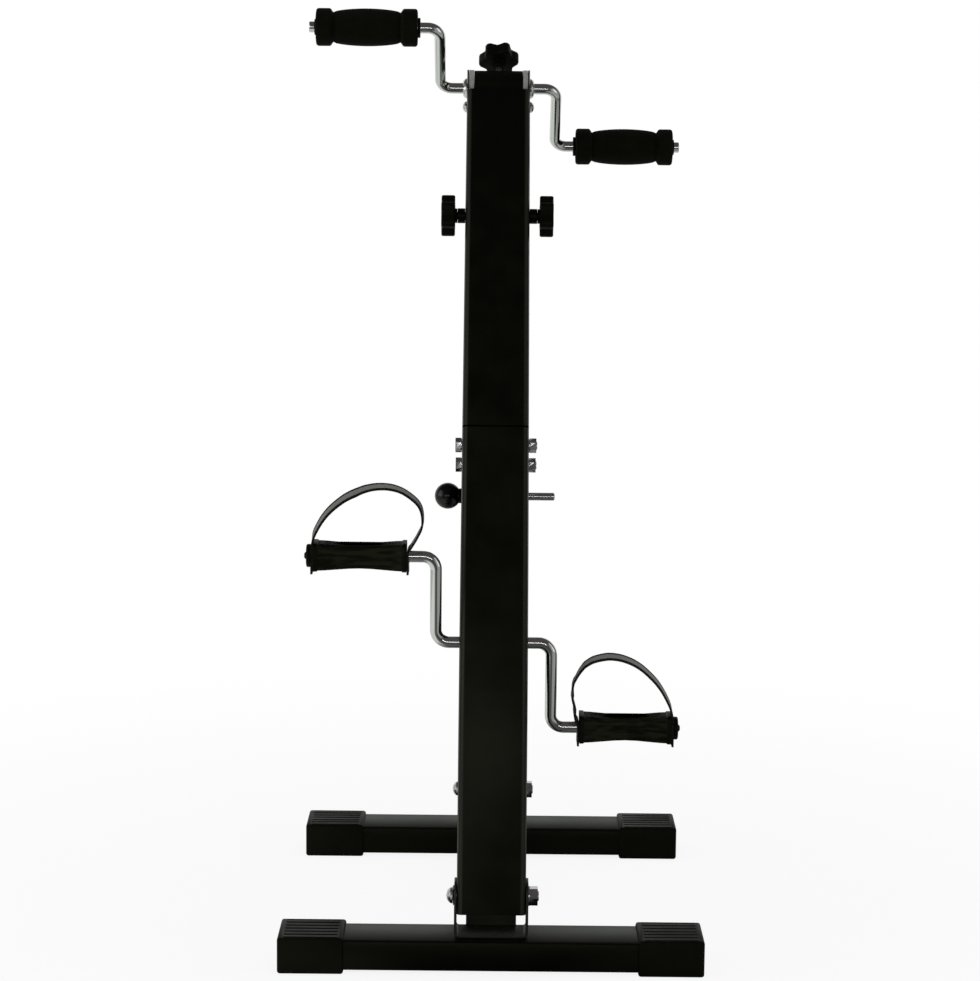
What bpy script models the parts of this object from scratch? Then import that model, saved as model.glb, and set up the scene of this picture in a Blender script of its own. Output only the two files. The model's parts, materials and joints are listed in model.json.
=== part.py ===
"""Dual exercise bike: a folding stand with pedals below and a hand crank on a telescopic mast.

Metres, +Z up. The front, away from the person who trains, faces -Y. The origin is on the floor
under the middle of the bounding box.
"""
import math

import bmesh
import bpy
from mathutils import Matrix, Vector

# Clearances
SEAT_GAP = 0.0003
BORE_GAP = 0.0004
SIDE_PLAY = 0.0007

# Foot bars, a rectangular steel tube each, with a plastic cap on each end
BASE_SPACING = 0.413
FOOT_WIDTH = 0.420
BAR_DEPTH = 0.060
BAR_HEIGHT = 0.031
BAR_WALL = 0.002
BAR_CORNER = 0.004
CAP_LENGTH = 0.065
CAP_WALL = 0.0025
CAP_END = 0.003
CAP_CORNER = 0.0025
CAP_GROOVES = 7
CAP_GROOVE_WIDTH = 0.0028
CAP_GROOVE_DEPTH = 0.0009
CAP_GROOVE_END = 0.006

# Foot brackets, bent from strip and welded on the bars
BRACKET_DEPTH = 0.038
BRACKET_WALL = 0.0023
BRACKET_BEND = 0.0045
BRACKET_EAR_TOP = 0.088
BRACKET_EAR_CORNER = 0.012
BRACKET_LIP_WIDTH = 0.050
BRACKET_LIP_HEIGHT = 0.0125
FOOT_BOLT_HEIGHT = 0.072
FOOT_BOLT_RADIUS = 0.005
FOOT_HEAD_RADIUS = 0.0084
FOOT_HEAD_HEIGHT = 0.0062
FOOT_NUT_FLATS = 0.017
FOOT_NUT_HEIGHT = 0.008
FOOT_WASHER_RADIUS = 0.010
FOOT_WASHER_THICK = 0.001
FOOT_BOLT_OUT = 0.0008

# Lower post, a bowed rectangular tube
POST_WIDTH = 0.068
POST_DEPTH = 0.040
POST_WALL = 0.002
POST_CORNER = 0.004
POST_FOOT_LEAN = math.radians(3)
POST_TOP_LEAN = math.radians(32)
POST_TAIL = 0.015
POST_FOOT_STRAIGHT = 0.040
POST_ARC = 0.350
POST_TOP_STRAIGHT = 0.100
POST_ARC_STEPS = 12

# Mast and the inner tube that it slides on
MAST_LENGTH = 0.4145
MAST_FRONT_DOWN = 0.0125
MAST_TRAVEL = 0.080
SEAM_GAP = 0.0008
INSERT_WALL = 0.002
INSERT_DOWN = 0.062
INSERT_TOP_DOWN = 0.0695
INSERT_BOLT_DOWN = 0.0123

# M8 bolts of the mast's inner tube and of the rear leg
BOLT_RADIUS = 0.004
BOLT_FLATS = 0.013
BOLT_HEAD_HEIGHT = 0.0052
BOLT_NUT_HEIGHT = 0.0062
BOLT_FLANGE_RADIUS = 0.0071
BOLT_FLANGE_THICK = 0.0014
BOLT_OUT = 0.0008

# Rear leg, its hinge bracket behind the post and the lock pin
LEG_SIDE_ROOM = 0.001
LEG_DEPTH = 0.030
LEG_WALL = 0.002
LEG_CORNER = 0.003
LEG_BACK_GAP = 0.0045
LEG_TAIL = 0.015
HINGE_WALL = 0.003
HINGE_DROP = 0.0165
HINGE_EYE = 0.0150
LOCK_DISTANCE = 0.041
LOCK_EYE = 0.0125
LOCK_PIN_RADIUS = 0.0041
LOCK_PIN_OUT = 0.0285
LOCK_BALL_RADIUS = 0.0138
LOCK_COLLAR_RADIUS = 0.0078
LOCK_BALL_OFFSET = 0.0150
LOCK_PIN_HOLD = 0.009
LEG_NOTCH_PLAY = 0.0006

# Cranks, one bent steel rod each
ROD_RADIUS = 0.0058
ROD_BEND = 0.0130
CRANK_RADIUS = 0.0886
PEDAL_CRANK_ARM = 0.0577
HAND_CRANK_ARM = 0.0630
PEDAL_SHAFT_DOWN = 0.2237
PEDAL_CRANK_REST = math.radians(7)
HAND_CRANK_REST = math.radians(45)
PUSH_CAP_RADIUS = 0.0108
PUSH_CAP_THICK = 0.0044

# Friction brake, alike on both shafts
BLOCK_RADIUS = 0.0192
BLOCK_WIDTH = 0.0526
BLOCK_TONGUE_DEPTH = 0.0340
BLOCK_TONGUE_DOWN = 0.034
PEDAL_BLOCK_RADIUS = 0.0174
BUSH_RADIUS = 0.0200
HEAD_BOLT_DOWN = 0.0235
HEAD_BOLT_RADIUS = 0.003
HEAD_DOME_RADIUS = 0.0062
HEAD_DOME_HEIGHT = 0.0044
SHOE_RADIUS = 0.0060
SHOE_LENGTH = 0.0060
HEAD_SCREW_LEAN = math.radians(12)
PEDAL_SCREW_LEAN = math.radians(65)
SCREW_RADIUS = 0.004
KNOB_RADIUS = 0.0195
KNOB_LOBE = 0.0028
KNOB_LOBES = 6
KNOB_TURN = math.radians(-5)
KNOB_THICK = 0.0145
KNOB_EDGE = 0.0014
KNOB_HUB_RADIUS = 0.0078
KNOB_HUB_LENGTH = 0.0024
TENSION_HUB_LENGTH = 0.0065
HEAD_KNOB_REACH = 0.0370
PEDAL_KNOB_REACH = 0.0400

# Side clamp knobs on the mast
CLAMP_UP = 0.2560
CLAMP_BUSH_RADIUS = 0.0080
CLAMP_BUSH_LENGTH = 0.0080

# Hand grips
GRIP_INNER = 0.0865
GRIP_LENGTH = 0.1075
GRIP_FLANGE_RADIUS = 0.0200
GRIP_FLANGE_LENGTH = 0.0165
GRIP_NECK_RADIUS = 0.0156
GRIP_BARREL_RADIUS = 0.0199
GRIP_ROUND = 0.0020
GRIP_STEPS = 8
GRIP_COLLAR_RADIUS = 0.0105
GRIP_COLLAR_LENGTH = 0.0026
GRIP_ROD_OUT = 0.0075
GRIP_WASHER_RADIUS = 0.0085
GRIP_WASHER_THICK = 0.0016

# Pedals and their straps
PEDAL_INNER = 0.0866
PEDAL_LENGTH = 0.0920
PEDAL_DEPTH = 0.0340
PEDAL_TOP = 0.0145
PEDAL_BOTTOM = 0.0140
PEDAL_WAIST_DEPTH = 0.0040
PEDAL_WAIST_HEIGHT = 0.0019
PEDAL_RIM = 0.0008
PEDAL_RIM_LENGTH = 0.0040
PEDAL_CORNER = 0.0045
PEDAL_TREADS = 3
PEDAL_TREAD_PITCH = 0.0062
PEDAL_TREAD_WIDTH = 0.0022
PEDAL_TREAD_DEPTH = 0.0020
PEDAL_TREAD_END = 0.0110
STRAP_WIDTH = 0.0280
STRAP_THICK = 0.0020
STRAP_TAIL = 0.0165
STRAP_RISE = 0.0700
STRAP_HOLE_RADIUS = 0.0064
BUTTON_RADIUS = 0.0115
BUTTON_THICK = 0.0040
BUTTON_NUB_RADIUS = 0.0036
BUTTON_NUB_HEIGHT = 0.0022

# Faceting
ROUND_SIDES = 28
BOLT_SIDES = 16
ROD_SIDES = 12
BEND_STEPS = 4
CORNER_STEPS = 2

# Places worked out from the sizes
CAP_HEIGHT = BAR_HEIGHT + 2 * (CAP_WALL + SEAT_GAP)
CAP_DEPTH = BAR_DEPTH + 2 * (CAP_WALL + SEAT_GAP)
BAR_LENGTH = FOOT_WIDTH - 2 * (CAP_END + SEAT_GAP)
BAR_BOTTOM = CAP_WALL + SEAT_GAP
BAR_TOP = BAR_BOTTOM + BAR_HEIGHT
BRACKET_INNER = POST_WIDTH / 2 + SEAT_GAP
BRACKET_OUTER = BRACKET_INNER + BRACKET_WALL
POST_HALF = POST_WIDTH / 2
POST_LENGTH = POST_FOOT_STRAIGHT + POST_ARC + POST_TOP_STRAIGHT
POST_BEND = POST_ARC / (POST_TOP_LEAN - POST_FOOT_LEAN)
INSERT_WIDTH = POST_WIDTH - 2 * (POST_WALL + SEAT_GAP)
INSERT_DEPTH = POST_DEPTH - 2 * (POST_WALL + SEAT_GAP)
INSERT_UP = MAST_LENGTH - INSERT_TOP_DOWN
HINGE_INNER = POST_HALF - HINGE_WALL
LEG_WIDTH = 2 * (HINGE_INNER - LEG_SIDE_ROOM)
HINGE_BACK = POST_DEPTH / 2 + LEG_BACK_GAP + LEG_DEPTH / 2
PEDAL_SHAFT_S = POST_LENGTH - PEDAL_SHAFT_DOWN
LOCK_BALL_X = -(POST_HALF + LOCK_BALL_OFFSET)


def post_place(s):
    """Centre line of the lower post: (y, z) and lean at a distance s above its lower end."""
    lean = POST_FOOT_LEAN
    y = -BASE_SPACING / 2 - POST_TAIL * math.sin(lean)
    z = FOOT_BOLT_HEIGHT - POST_TAIL * math.cos(lean)
    run = min(s, POST_FOOT_STRAIGHT)
    y += run * math.sin(lean)
    z += run * math.cos(lean)
    if s > POST_FOOT_STRAIGHT:
        turn = min(s - POST_FOOT_STRAIGHT, POST_ARC) / POST_BEND
        y += POST_BEND * (math.cos(lean) - math.cos(lean + turn))
        z += POST_BEND * (math.sin(lean + turn) - math.sin(lean))
        lean += turn
    rest = max(s - POST_FOOT_STRAIGHT - POST_ARC, 0)
    return y + rest * math.sin(lean), z + rest * math.cos(lean), lean


SEAM_Y, SEAM_Z, MAST_LEAN = post_place(POST_LENGTH)
HINGE_Y = SEAM_Y - HINGE_DROP * math.sin(MAST_LEAN) + HINGE_BACK * math.cos(MAST_LEAN)
HINGE_Z = SEAM_Z - HINGE_DROP * math.cos(MAST_LEAN) - HINGE_BACK * math.sin(MAST_LEAN)
LEG_LEAN = math.atan2(BASE_SPACING / 2 - HINGE_Y, HINGE_Z - FOOT_BOLT_HEIGHT)
LEG_LENGTH = math.hypot(BASE_SPACING / 2 - HINGE_Y, HINGE_Z - FOOT_BOLT_HEIGHT)
HAND_SHAFT_Y = SEAM_Y + MAST_LENGTH * math.sin(MAST_LEAN)
HAND_REACH = HAND_SHAFT_Y + CRANK_RADIUS * math.sin(HAND_CRANK_REST) + GRIP_FLANGE_RADIUS
FRONT_REACH = BASE_SPACING / 2 + CAP_DEPTH / 2
BACK_REACH = max(HAND_REACH, FRONT_REACH)
ORIGIN_SHIFT = (FRONT_REACH - BACK_REACH) / 2

SIDES = (("left", -1), ("right", 1))
COLOURS = {
    "black_paint": ((0.012, 0.013, 0.011), 0.35, 0.0),
    "black_plastic": ((0.018, 0.018, 0.016), 0.5, 0.0),
    "gloss_black": ((0.010, 0.010, 0.010), 0.15, 0.0),
    "foam": ((0.022, 0.022, 0.020), 0.9, 0.0),
    "rubber_strap": ((0.10, 0.10, 0.09), 0.6, 0.0),
    "chrome": ((0.80, 0.80, 0.80), 0.08, 1.0),
    "zinc": ((0.62, 0.63, 0.64), 0.35, 1.0),
    "nylon": ((0.62, 0.62, 0.60), 0.5, 0.0),
}


def clear_scene():
    """Removes what the file holds and makes the two collections."""
    for old in list(bpy.data.objects):
        bpy.data.objects.remove(old)
    for name in ("dual_exercise_bike", "cutters"):
        made = bpy.data.collections.new(name)
        bpy.context.scene.collection.children.link(made)


def material(name):
    """The material of a finish in COLOURS, made once."""
    found = bpy.data.materials.get(name)
    if found:
        return found
    colour, roughness, metallic = COLOURS[name]
    made = bpy.data.materials.new(name)
    made.use_nodes = True
    shader = made.node_tree.nodes["Principled BSDF"]
    shader.inputs["Base Color"].default_value = (*colour, 1)
    shader.inputs["Roughness"].default_value = roughness
    shader.inputs["Metallic"].default_value = metallic
    made.diffuse_color = (*colour, 1)
    return made


def empty(name, parent=None, place=(0, 0, 0), turn=0.0):
    """A frame at a place, turned about X, on its parent."""
    made = bpy.data.objects.new(name, None)
    made.empty_display_size = 0.02
    made.location = place
    made.rotation_euler = (turn, 0, 0)
    made.parent = parent
    bpy.data.collections["cutters"].objects.link(made)
    return made


def part(name, mesh, finish, parent, smooth=True):
    """A sub-part from a mesh in its parent's frame."""
    mesh.name = name
    made = bpy.data.objects.new(name, mesh)
    made.parent = parent
    mesh.materials.clear()
    mesh.materials.append(material(finish))
    if smooth:
        mesh.shade_smooth()
        mesh.set_sharp_from_angle(angle=math.radians(35))
    bpy.data.collections["dual_exercise_bike"].objects.link(made)
    return made


def shape(target, mesh, operation="DIFFERENCE"):
    """Cuts a mesh out of a part, or joins it on, in the part's own frame."""
    tool = bpy.data.objects.new(target.name + "_tool", mesh)
    tool.parent = target
    tool.hide_render = True
    tool.display_type = "WIRE"
    bpy.data.collections["cutters"].objects.link(tool)
    step = target.modifiers.new(operation.lower(), "BOOLEAN")
    step.operation = operation
    step.solver = "EXACT"
    step.object = tool


def round_edges(target, width, segments=1, angle=40):
    """A Bevel on the edges sharper than an angle."""
    step = target.modifiers.new("round", "BEVEL")
    step.width = width
    step.segments = segments
    step.limit_method = "ANGLE"
    step.angle_limit = math.radians(angle)


def evaluated_mesh(source):
    """The mesh of an object after its modifiers, welded; the object is removed."""
    holder = bpy.context.scene.collection
    holder.objects.link(source)
    bpy.context.view_layer.update()
    found = source.evaluated_get(bpy.context.evaluated_depsgraph_get())
    mesh = bpy.data.meshes.new_from_object(found)
    mesh.transform(source.matrix_world)
    bpy.data.objects.remove(source)
    work = bmesh.new()
    work.from_mesh(mesh)
    bmesh.ops.remove_doubles(work, verts=work.verts, dist=0.00001)
    work.to_mesh(mesh)
    work.free()
    return mesh


def turned_to(mesh, axis):
    """Turns a mesh built along Z so that it runs along X, Y or Z."""
    if axis == "X":
        mesh.transform(Matrix(((0, 0, 1, 0), (1, 0, 0, 0), (0, 1, 0, 0), (0, 0, 0, 1))))
    if axis == "Y":
        mesh.transform(Matrix(((0, 1, 0, 0), (0, 0, 1, 0), (1, 0, 0, 0), (0, 0, 0, 1))))
    return mesh


def prism(outline, low, high, axis="Z"):
    """A flat outline drawn out from low to high. Along X it is (y, z), along Y (z, x)."""
    curve = bpy.data.curves.new("outline", "CURVE")
    curve.dimensions = "2D"
    curve.fill_mode = "BOTH"
    curve.extrude = (high - low) / 2
    spline = curve.splines.new("POLY")
    spline.points.add(len(outline) - 1)
    for point, (a, b) in zip(spline.points, outline):
        point.co = (a, b, 0, 1)
    spline.use_cyclic_u = True
    source = bpy.data.objects.new("outline", curve)
    source.location.z = (low + high) / 2
    mesh = evaluated_mesh(source)
    bpy.data.curves.remove(curve)
    work = bmesh.new()
    work.from_mesh(mesh)
    bmesh.ops.dissolve_limit(work, angle_limit=0.002, verts=work.verts, edges=work.edges)
    bmesh.ops.recalc_face_normals(work, faces=work.faces)
    work.to_mesh(mesh)
    work.free()
    return turned_to(mesh, axis)


def arc(centre, radius, start, end, steps):
    """Points of an arc, angles in degrees."""
    turns = [math.radians(start + (end - start) * i / steps) for i in range(steps + 1)]
    return [(centre[0] + radius * math.cos(t), centre[1] + radius * math.sin(t)) for t in turns]


def rounded_rectangle(width, depth, corner, steps=CORNER_STEPS):
    """A rectangle about the origin with round corners."""
    x = width / 2 - corner
    y = depth / 2 - corner
    points = []
    for i, (sx, sy) in enumerate(((1, 1), (-1, 1), (-1, -1), (1, -1))):
        points += arc((sx * x, sy * y), corner, 90 * i, 90 * i + 90, steps)
    return points


def cylinder(radius, low, high, axis="X", centre=(0, 0), sides=BOLT_SIDES, end_radius=None):
    """A round bar or cone along an axis; centre is in the two other directions, in turn."""
    work = bmesh.new()
    last = radius if end_radius is None else end_radius
    place = Matrix.Translation((centre[0], centre[1], (low + high) / 2))
    bmesh.ops.create_cone(work, cap_ends=True, segments=sides, radius1=radius, radius2=last,
                          depth=high - low, matrix=place)
    mesh = bpy.data.meshes.new("cylinder")
    work.to_mesh(mesh)
    work.free()
    return turned_to(mesh, axis)


def block(size, centre):
    """A plain box."""
    work = bmesh.new()
    bmesh.ops.create_cube(work, matrix=Matrix.Translation(centre) @ Matrix.Diagonal((*size, 1)))
    mesh = bpy.data.meshes.new("block")
    work.to_mesh(mesh)
    work.free()
    return mesh


def turned(profile, steps=ROUND_SIDES, axis="X", closed=False):
    """A profile of (radius, height) points, from the top down its outer side, turned about an axis."""
    mesh = bpy.data.meshes.new("profile")
    count = len(profile)
    edges = [(i, i + 1) for i in range(count - 1)]
    if closed:
        edges.append((count - 1, 0))
    mesh.from_pydata([(radius, 0, height) for radius, height in profile], edges, [])
    source = bpy.data.objects.new("profile", mesh)
    step = source.modifiers.new("turn", "SCREW")
    step.steps = steps
    step.render_steps = steps
    step.use_merge_vertices = True
    step.merge_threshold = 0.00001
    made = evaluated_mesh(source)
    work = bmesh.new()
    work.from_mesh(made)
    bmesh.ops.recalc_face_normals(work, faces=work.faces)
    work.to_mesh(made)
    work.free()
    return turned_to(made, axis)


def wire(points, radius, sides=ROD_SIDES):
    """A round rod along points."""
    curve = bpy.data.curves.new("wire", "CURVE")
    curve.dimensions = "3D"
    curve.bevel_depth = radius
    curve.bevel_resolution = sides // 2 - 2
    curve.use_fill_caps = True
    spline = curve.splines.new("POLY")
    spline.points.add(len(points) - 1)
    for point, place in zip(spline.points, points):
        point.co = (*place, 1)
    source = bpy.data.objects.new("wire", curve)
    mesh = evaluated_mesh(source)
    bpy.data.curves.remove(curve)
    return mesh


def fillet_path(corners, radius, steps=BEND_STEPS):
    """The corners of a bent rod, each inner one replaced by an arc of the bend's radius."""
    points = [Vector(corners[0])]
    for before, here, after in zip(corners, corners[1:], corners[2:]):
        here = Vector(here)
        back = (Vector(before) - here).normalized()
        ahead = (Vector(after) - here).normalized()
        half = back.angle(ahead) / 2
        centre = here + (back + ahead).normalized() * radius / math.sin(half)
        start = here + back * radius / math.tan(half) - centre
        end = here + ahead * radius / math.tan(half) - centre
        for i in range(steps + 1):
            points.append(centre + start.slerp(end, i / steps).normalized() * radius)
    return points + [Vector(corners[-1])]


def hexagon(flats):
    """A hexagon across its flats, corners fore and aft."""
    return arc((0, 0), flats / math.sqrt(3), 0, 300, 5)


def foot_bar(name, frame):
    """The rectangular tube of a foot, in its bolt's frame."""
    middle = BAR_BOTTOM + BAR_HEIGHT / 2 - FOOT_BOLT_HEIGHT
    half = BAR_LENGTH / 2
    outer = [(y, z + middle) for y, z in rounded_rectangle(BAR_DEPTH, BAR_HEIGHT, BAR_CORNER)]
    inner = rounded_rectangle(BAR_DEPTH - 2 * BAR_WALL, BAR_HEIGHT - 2 * BAR_WALL, BAR_CORNER - BAR_WALL)
    bar = part(name, prism(outer, -half, half, "X"), "black_paint", frame)
    shape(bar, prism([(y, z + middle) for y, z in inner], -2 * half, 2 * half, "X"))
    return bar


def foot_cap(name, side, frame):
    """A plastic cap: a sleeve over the bar's end with grip grooves along its top."""
    end = FOOT_WIDTH / 2
    floor = -FOOT_BOLT_HEIGHT
    size = (CAP_LENGTH, CAP_DEPTH, CAP_HEIGHT)
    middle = (side * (end - CAP_LENGTH / 2), 0, floor + CAP_HEIGHT / 2)
    cap = part(name, block(size, middle), "black_plastic", frame)
    round_edges(cap, CAP_CORNER, CORNER_STEPS)
    clear = SEAT_GAP
    hollow = rounded_rectangle(BAR_DEPTH + 2 * clear, BAR_HEIGHT + 2 * clear, BAR_CORNER)
    hollow = [(y, z + floor + CAP_HEIGHT / 2) for y, z in hollow]
    inside = sorted((side * (end - CAP_END), side * (end - 2 * CAP_LENGTH)))
    shape(cap, prism(hollow, inside[0], inside[1], "X"))
    spread = CAP_DEPTH - 2 * CAP_CORNER - CAP_GROOVE_WIDTH
    length = CAP_LENGTH - 2 * CAP_GROOVE_END
    for i in range(CAP_GROOVES):
        y = spread * (i / (CAP_GROOVES - 1) - 0.5)
        place = (middle[0], y, floor + CAP_HEIGHT)
        shape(cap, block((length, CAP_GROOVE_WIDTH, 2 * CAP_GROOVE_DEPTH), place))
    return cap


def foot_bracket(name, facing, frame):
    """A bent U of strip on the bar: a base, two ears with the bolt's holes and a lip on one side."""
    base = BAR_TOP + SEAT_GAP - FOOT_BOLT_HEIGHT
    top = BRACKET_EAR_TOP - FOOT_BOLT_HEIGHT
    half = BRACKET_DEPTH / 2
    bend = BRACKET_BEND
    wall = BRACKET_WALL
    outer = [(base + bend - bend * math.sin(t), BRACKET_OUTER - bend + bend * math.cos(t))
             for t in [math.radians(90 * i / CORNER_STEPS) for i in range(CORNER_STEPS + 1)]]
    left = [(z, -x) for z, x in reversed(outer)]
    outline = [(top, -BRACKET_OUTER)] + [(top, BRACKET_OUTER)] + outer + left
    bracket = part(name, prism(outline, -half, half, "Y"), "black_paint", frame)
    room = bend - wall
    inner = [(base + wall + room - room * math.sin(t), BRACKET_INNER - room + room * math.cos(t))
             for t in [math.radians(90 * i / CORNER_STEPS) for i in range(CORNER_STEPS + 1)]]
    inner_left = [(z, -x) for z, x in reversed(inner)]
    hollow = [(2 * top, -BRACKET_INNER), (2 * top, BRACKET_INNER)] + inner + inner_left
    shape(bracket, prism(hollow, -2 * half, 2 * half, "Y"))
    corner = BRACKET_EAR_CORNER
    turns = [math.radians(30 * i) for i in range(4)]
    for way in (-1, 1):
        round_off = [(way * (half - corner + corner * math.cos(t)), top - corner + corner * math.sin(t))
                     for t in turns]
        round_off += [(way * (half - corner), 2 * top), (way * 2 * half, 2 * top), (way * 2 * half, top - corner)]
        shape(bracket, prism(round_off, -2 * BRACKET_OUTER, 2 * BRACKET_OUTER, "X"))
    lip_size = (BRACKET_LIP_WIDTH, wall, BRACKET_LIP_HEIGHT + wall / 2)
    lip_place = (0, facing * (half - wall / 2), base + wall / 2 + lip_size[2] / 2)
    shape(bracket, block(lip_size, lip_place), "UNION")
    hole = FOOT_BOLT_RADIUS + BORE_GAP
    shape(bracket, cylinder(hole, -2 * BRACKET_OUTER, 2 * BRACKET_OUTER))
    return bracket


def dome(radius, height, face, side, axis="X", steps=BOLT_SIDES):
    """A round-topped head on a face, looking along its side."""
    rise = [(radius * math.cos(t), height * math.sin(t)) for t in [math.radians(90 * i / 4) for i in range(5)]]
    profile = [(0, height)] + list(reversed(rise))[1:] + [(0, 0)]
    mesh = turned(profile, steps, "Z")
    if side < 0:
        mesh.transform(Matrix.Rotation(math.pi, 4, "X"))
    mesh.transform(Matrix.Translation((0, 0, side * face)))
    return turned_to(mesh, axis)


def foot_fastener(prefix, frame):
    """The foot's bolt with its domed head and washer on the left, and its flanged nut."""
    face = BRACKET_OUTER + SEAT_GAP
    head_face = face + FOOT_WASHER_THICK + SEAT_GAP
    end = head_face + FOOT_NUT_HEIGHT + FOOT_BOLT_OUT
    shank = cylinder(FOOT_BOLT_RADIUS, -head_face - 0.5 * FOOT_HEAD_HEIGHT, end)
    bolt = part(prefix + "_bolt", shank, "zinc", frame)
    shape(bolt, dome(FOOT_HEAD_RADIUS, FOOT_HEAD_HEIGHT, head_face, -1), "UNION")
    flanged_nut(prefix + "_nut", frame, FOOT_NUT_FLATS, FOOT_NUT_HEIGHT, FOOT_BOLT_RADIUS, FOOT_WASHER_RADIUS,
                face, FOOT_WASHER_THICK)
    ring(prefix + "_washer", -1, FOOT_WASHER_RADIUS, FOOT_BOLT_RADIUS, face, face + FOOT_WASHER_THICK,
         "black_paint", frame)


def flanged_nut(name, frame, flats, height, hole, flange, face, thick):
    """A hex nut with a round flange against a face, on the right."""
    top = face + thick + height
    nut = part(name, prism(hexagon(flats), face + thick / 2, top, "X"), "zinc", frame)
    shape(nut, cylinder(flange, face, face + thick), "UNION")
    shape(nut, cylinder(hole + BORE_GAP, 0, 2 * top))
    return nut


def ring(name, side, radius, hole, low, high, finish, frame, steps=BOLT_SIDES):
    """A washer or bush about X, from low to high on one side."""
    bore = hole + BORE_GAP
    mesh = turned([(radius, high), (radius, low), (bore, low), (bore, high)], steps, "Z", closed=True)
    return part(name, mirrored_to(mesh, side), finish, frame)


def mirrored_to(mesh, side):
    """Turns a mesh built along Z so that it points out along X on one side."""
    if side < 0:
        mesh.transform(Matrix.Rotation(math.pi, 4, "X"))
    return turned_to(mesh, "X")


def bent_on_post(mesh, stations):
    """Bends a straight bar, drawn up from z = 0, along the post's centre line."""
    work = bmesh.new()
    work.from_mesh(mesh)
    for s in stations:
        everything = work.verts[:] + work.edges[:] + work.faces[:]
        bmesh.ops.bisect_plane(work, geom=everything, plane_co=(0, 0, s), plane_no=(0, 0, 1), dist=0.000001)
    for vertex in work.verts:
        s = vertex.co.z
        over = min(s, 0) + max(s - POST_LENGTH, 0)
        y, z, lean = post_place(min(max(s, 0), POST_LENGTH))
        back = vertex.co.y
        vertex.co.y = y + back * math.cos(lean) + over * math.sin(lean)
        vertex.co.z = z - back * math.sin(lean) + over * math.cos(lean)
    bmesh.ops.recalc_face_normals(work, faces=work.faces)
    work.to_mesh(mesh)
    work.free()
    return mesh


def lower_post(machine):
    """The bowed tube from the front foot up to the mast, with its cross holes."""
    stations = [POST_FOOT_STRAIGHT + POST_ARC * i / POST_ARC_STEPS for i in range(POST_ARC_STEPS + 1)]
    outer = rounded_rectangle(POST_WIDTH, POST_DEPTH, POST_CORNER)
    inner = rounded_rectangle(POST_WIDTH - 2 * POST_WALL, POST_DEPTH - 2 * POST_WALL, POST_CORNER - POST_WALL)
    post = part("lower_post", bent_on_post(prism(outer, 0, POST_LENGTH), stations), "black_paint", machine)
    past = POST_CORNER
    hollow = prism(inner, -past, POST_LENGTH + past)
    shape(post, bent_on_post(hollow, [0] + stations + [POST_LENGTH]))
    cross_hole(post, 0, 0, FOOT_BOLT_RADIUS, POST_TAIL)
    cross_hole(post, 0, 0, ROD_RADIUS, PEDAL_SHAFT_S)
    cross_hole(post, 0, 0, BOLT_RADIUS, POST_LENGTH - INSERT_BOLT_DOWN)
    y, z, lean = post_place(PEDAL_SHAFT_S)
    hole = cylinder(SCREW_RADIUS + BORE_GAP, PEDAL_BLOCK_RADIUS, 2 * POST_DEPTH, "Z")
    hole.transform(Matrix.Translation((0, y, z)) @ Matrix.Rotation(-lean - PEDAL_SCREW_LEAN, 4, "X"))
    shape(post, hole)
    return post


def cross_hole(target, y, z, radius, s=None):
    """A hole right through a part along X, at (y, z) or at a distance up the post."""
    if s is not None:
        y, z, lean = post_place(s)
    shape(target, cylinder(radius + BORE_GAP, -2 * POST_WIDTH, 2 * POST_WIDTH, "X", (y, z)))


def mast_insert(mast):
    """The inner tube, bolted in the lower post, that the mast slides on."""
    corner = POST_CORNER - POST_WALL
    outer = rounded_rectangle(INSERT_WIDTH, INSERT_DEPTH, corner)
    inner = rounded_rectangle(INSERT_WIDTH - 2 * INSERT_WALL, INSERT_DEPTH - 2 * INSERT_WALL, corner / 4)
    tube = part("mast_insert", prism(outer, -INSERT_DOWN, INSERT_UP), "zinc", mast)
    shape(tube, prism(inner, -2 * INSERT_DOWN, 2 * INSERT_UP))
    cross_hole(tube, 0, -INSERT_BOLT_DOWN, BOLT_RADIUS)
    return tube


def cross_bolt(prefix, frame, y, z):
    """An M8 bolt along X with its flanged hex head on the left, and its flanged nut."""
    face = POST_HALF + SEAT_GAP
    flange = face + BOLT_FLANGE_THICK
    end = flange + BOLT_NUT_HEIGHT + BOLT_OUT
    bolt = part(prefix + "_bolt", cylinder(BOLT_RADIUS, -flange, end), "zinc", frame)
    bolt.location = (0, y, z)
    shape(bolt, cylinder(BOLT_FLANGE_RADIUS, -flange, -face), "UNION")
    head = prism(hexagon(BOLT_FLATS), -flange - BOLT_HEAD_HEIGHT, -flange + BOLT_FLANGE_THICK / 2, "X")
    shape(bolt, head, "UNION")
    nut = flanged_nut(prefix + "_nut", frame, BOLT_FLATS, BOLT_NUT_HEIGHT, BOLT_RADIUS, BOLT_FLANGE_RADIUS,
                      face, BOLT_FLANGE_THICK)
    nut.location = (0, y, z)


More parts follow.
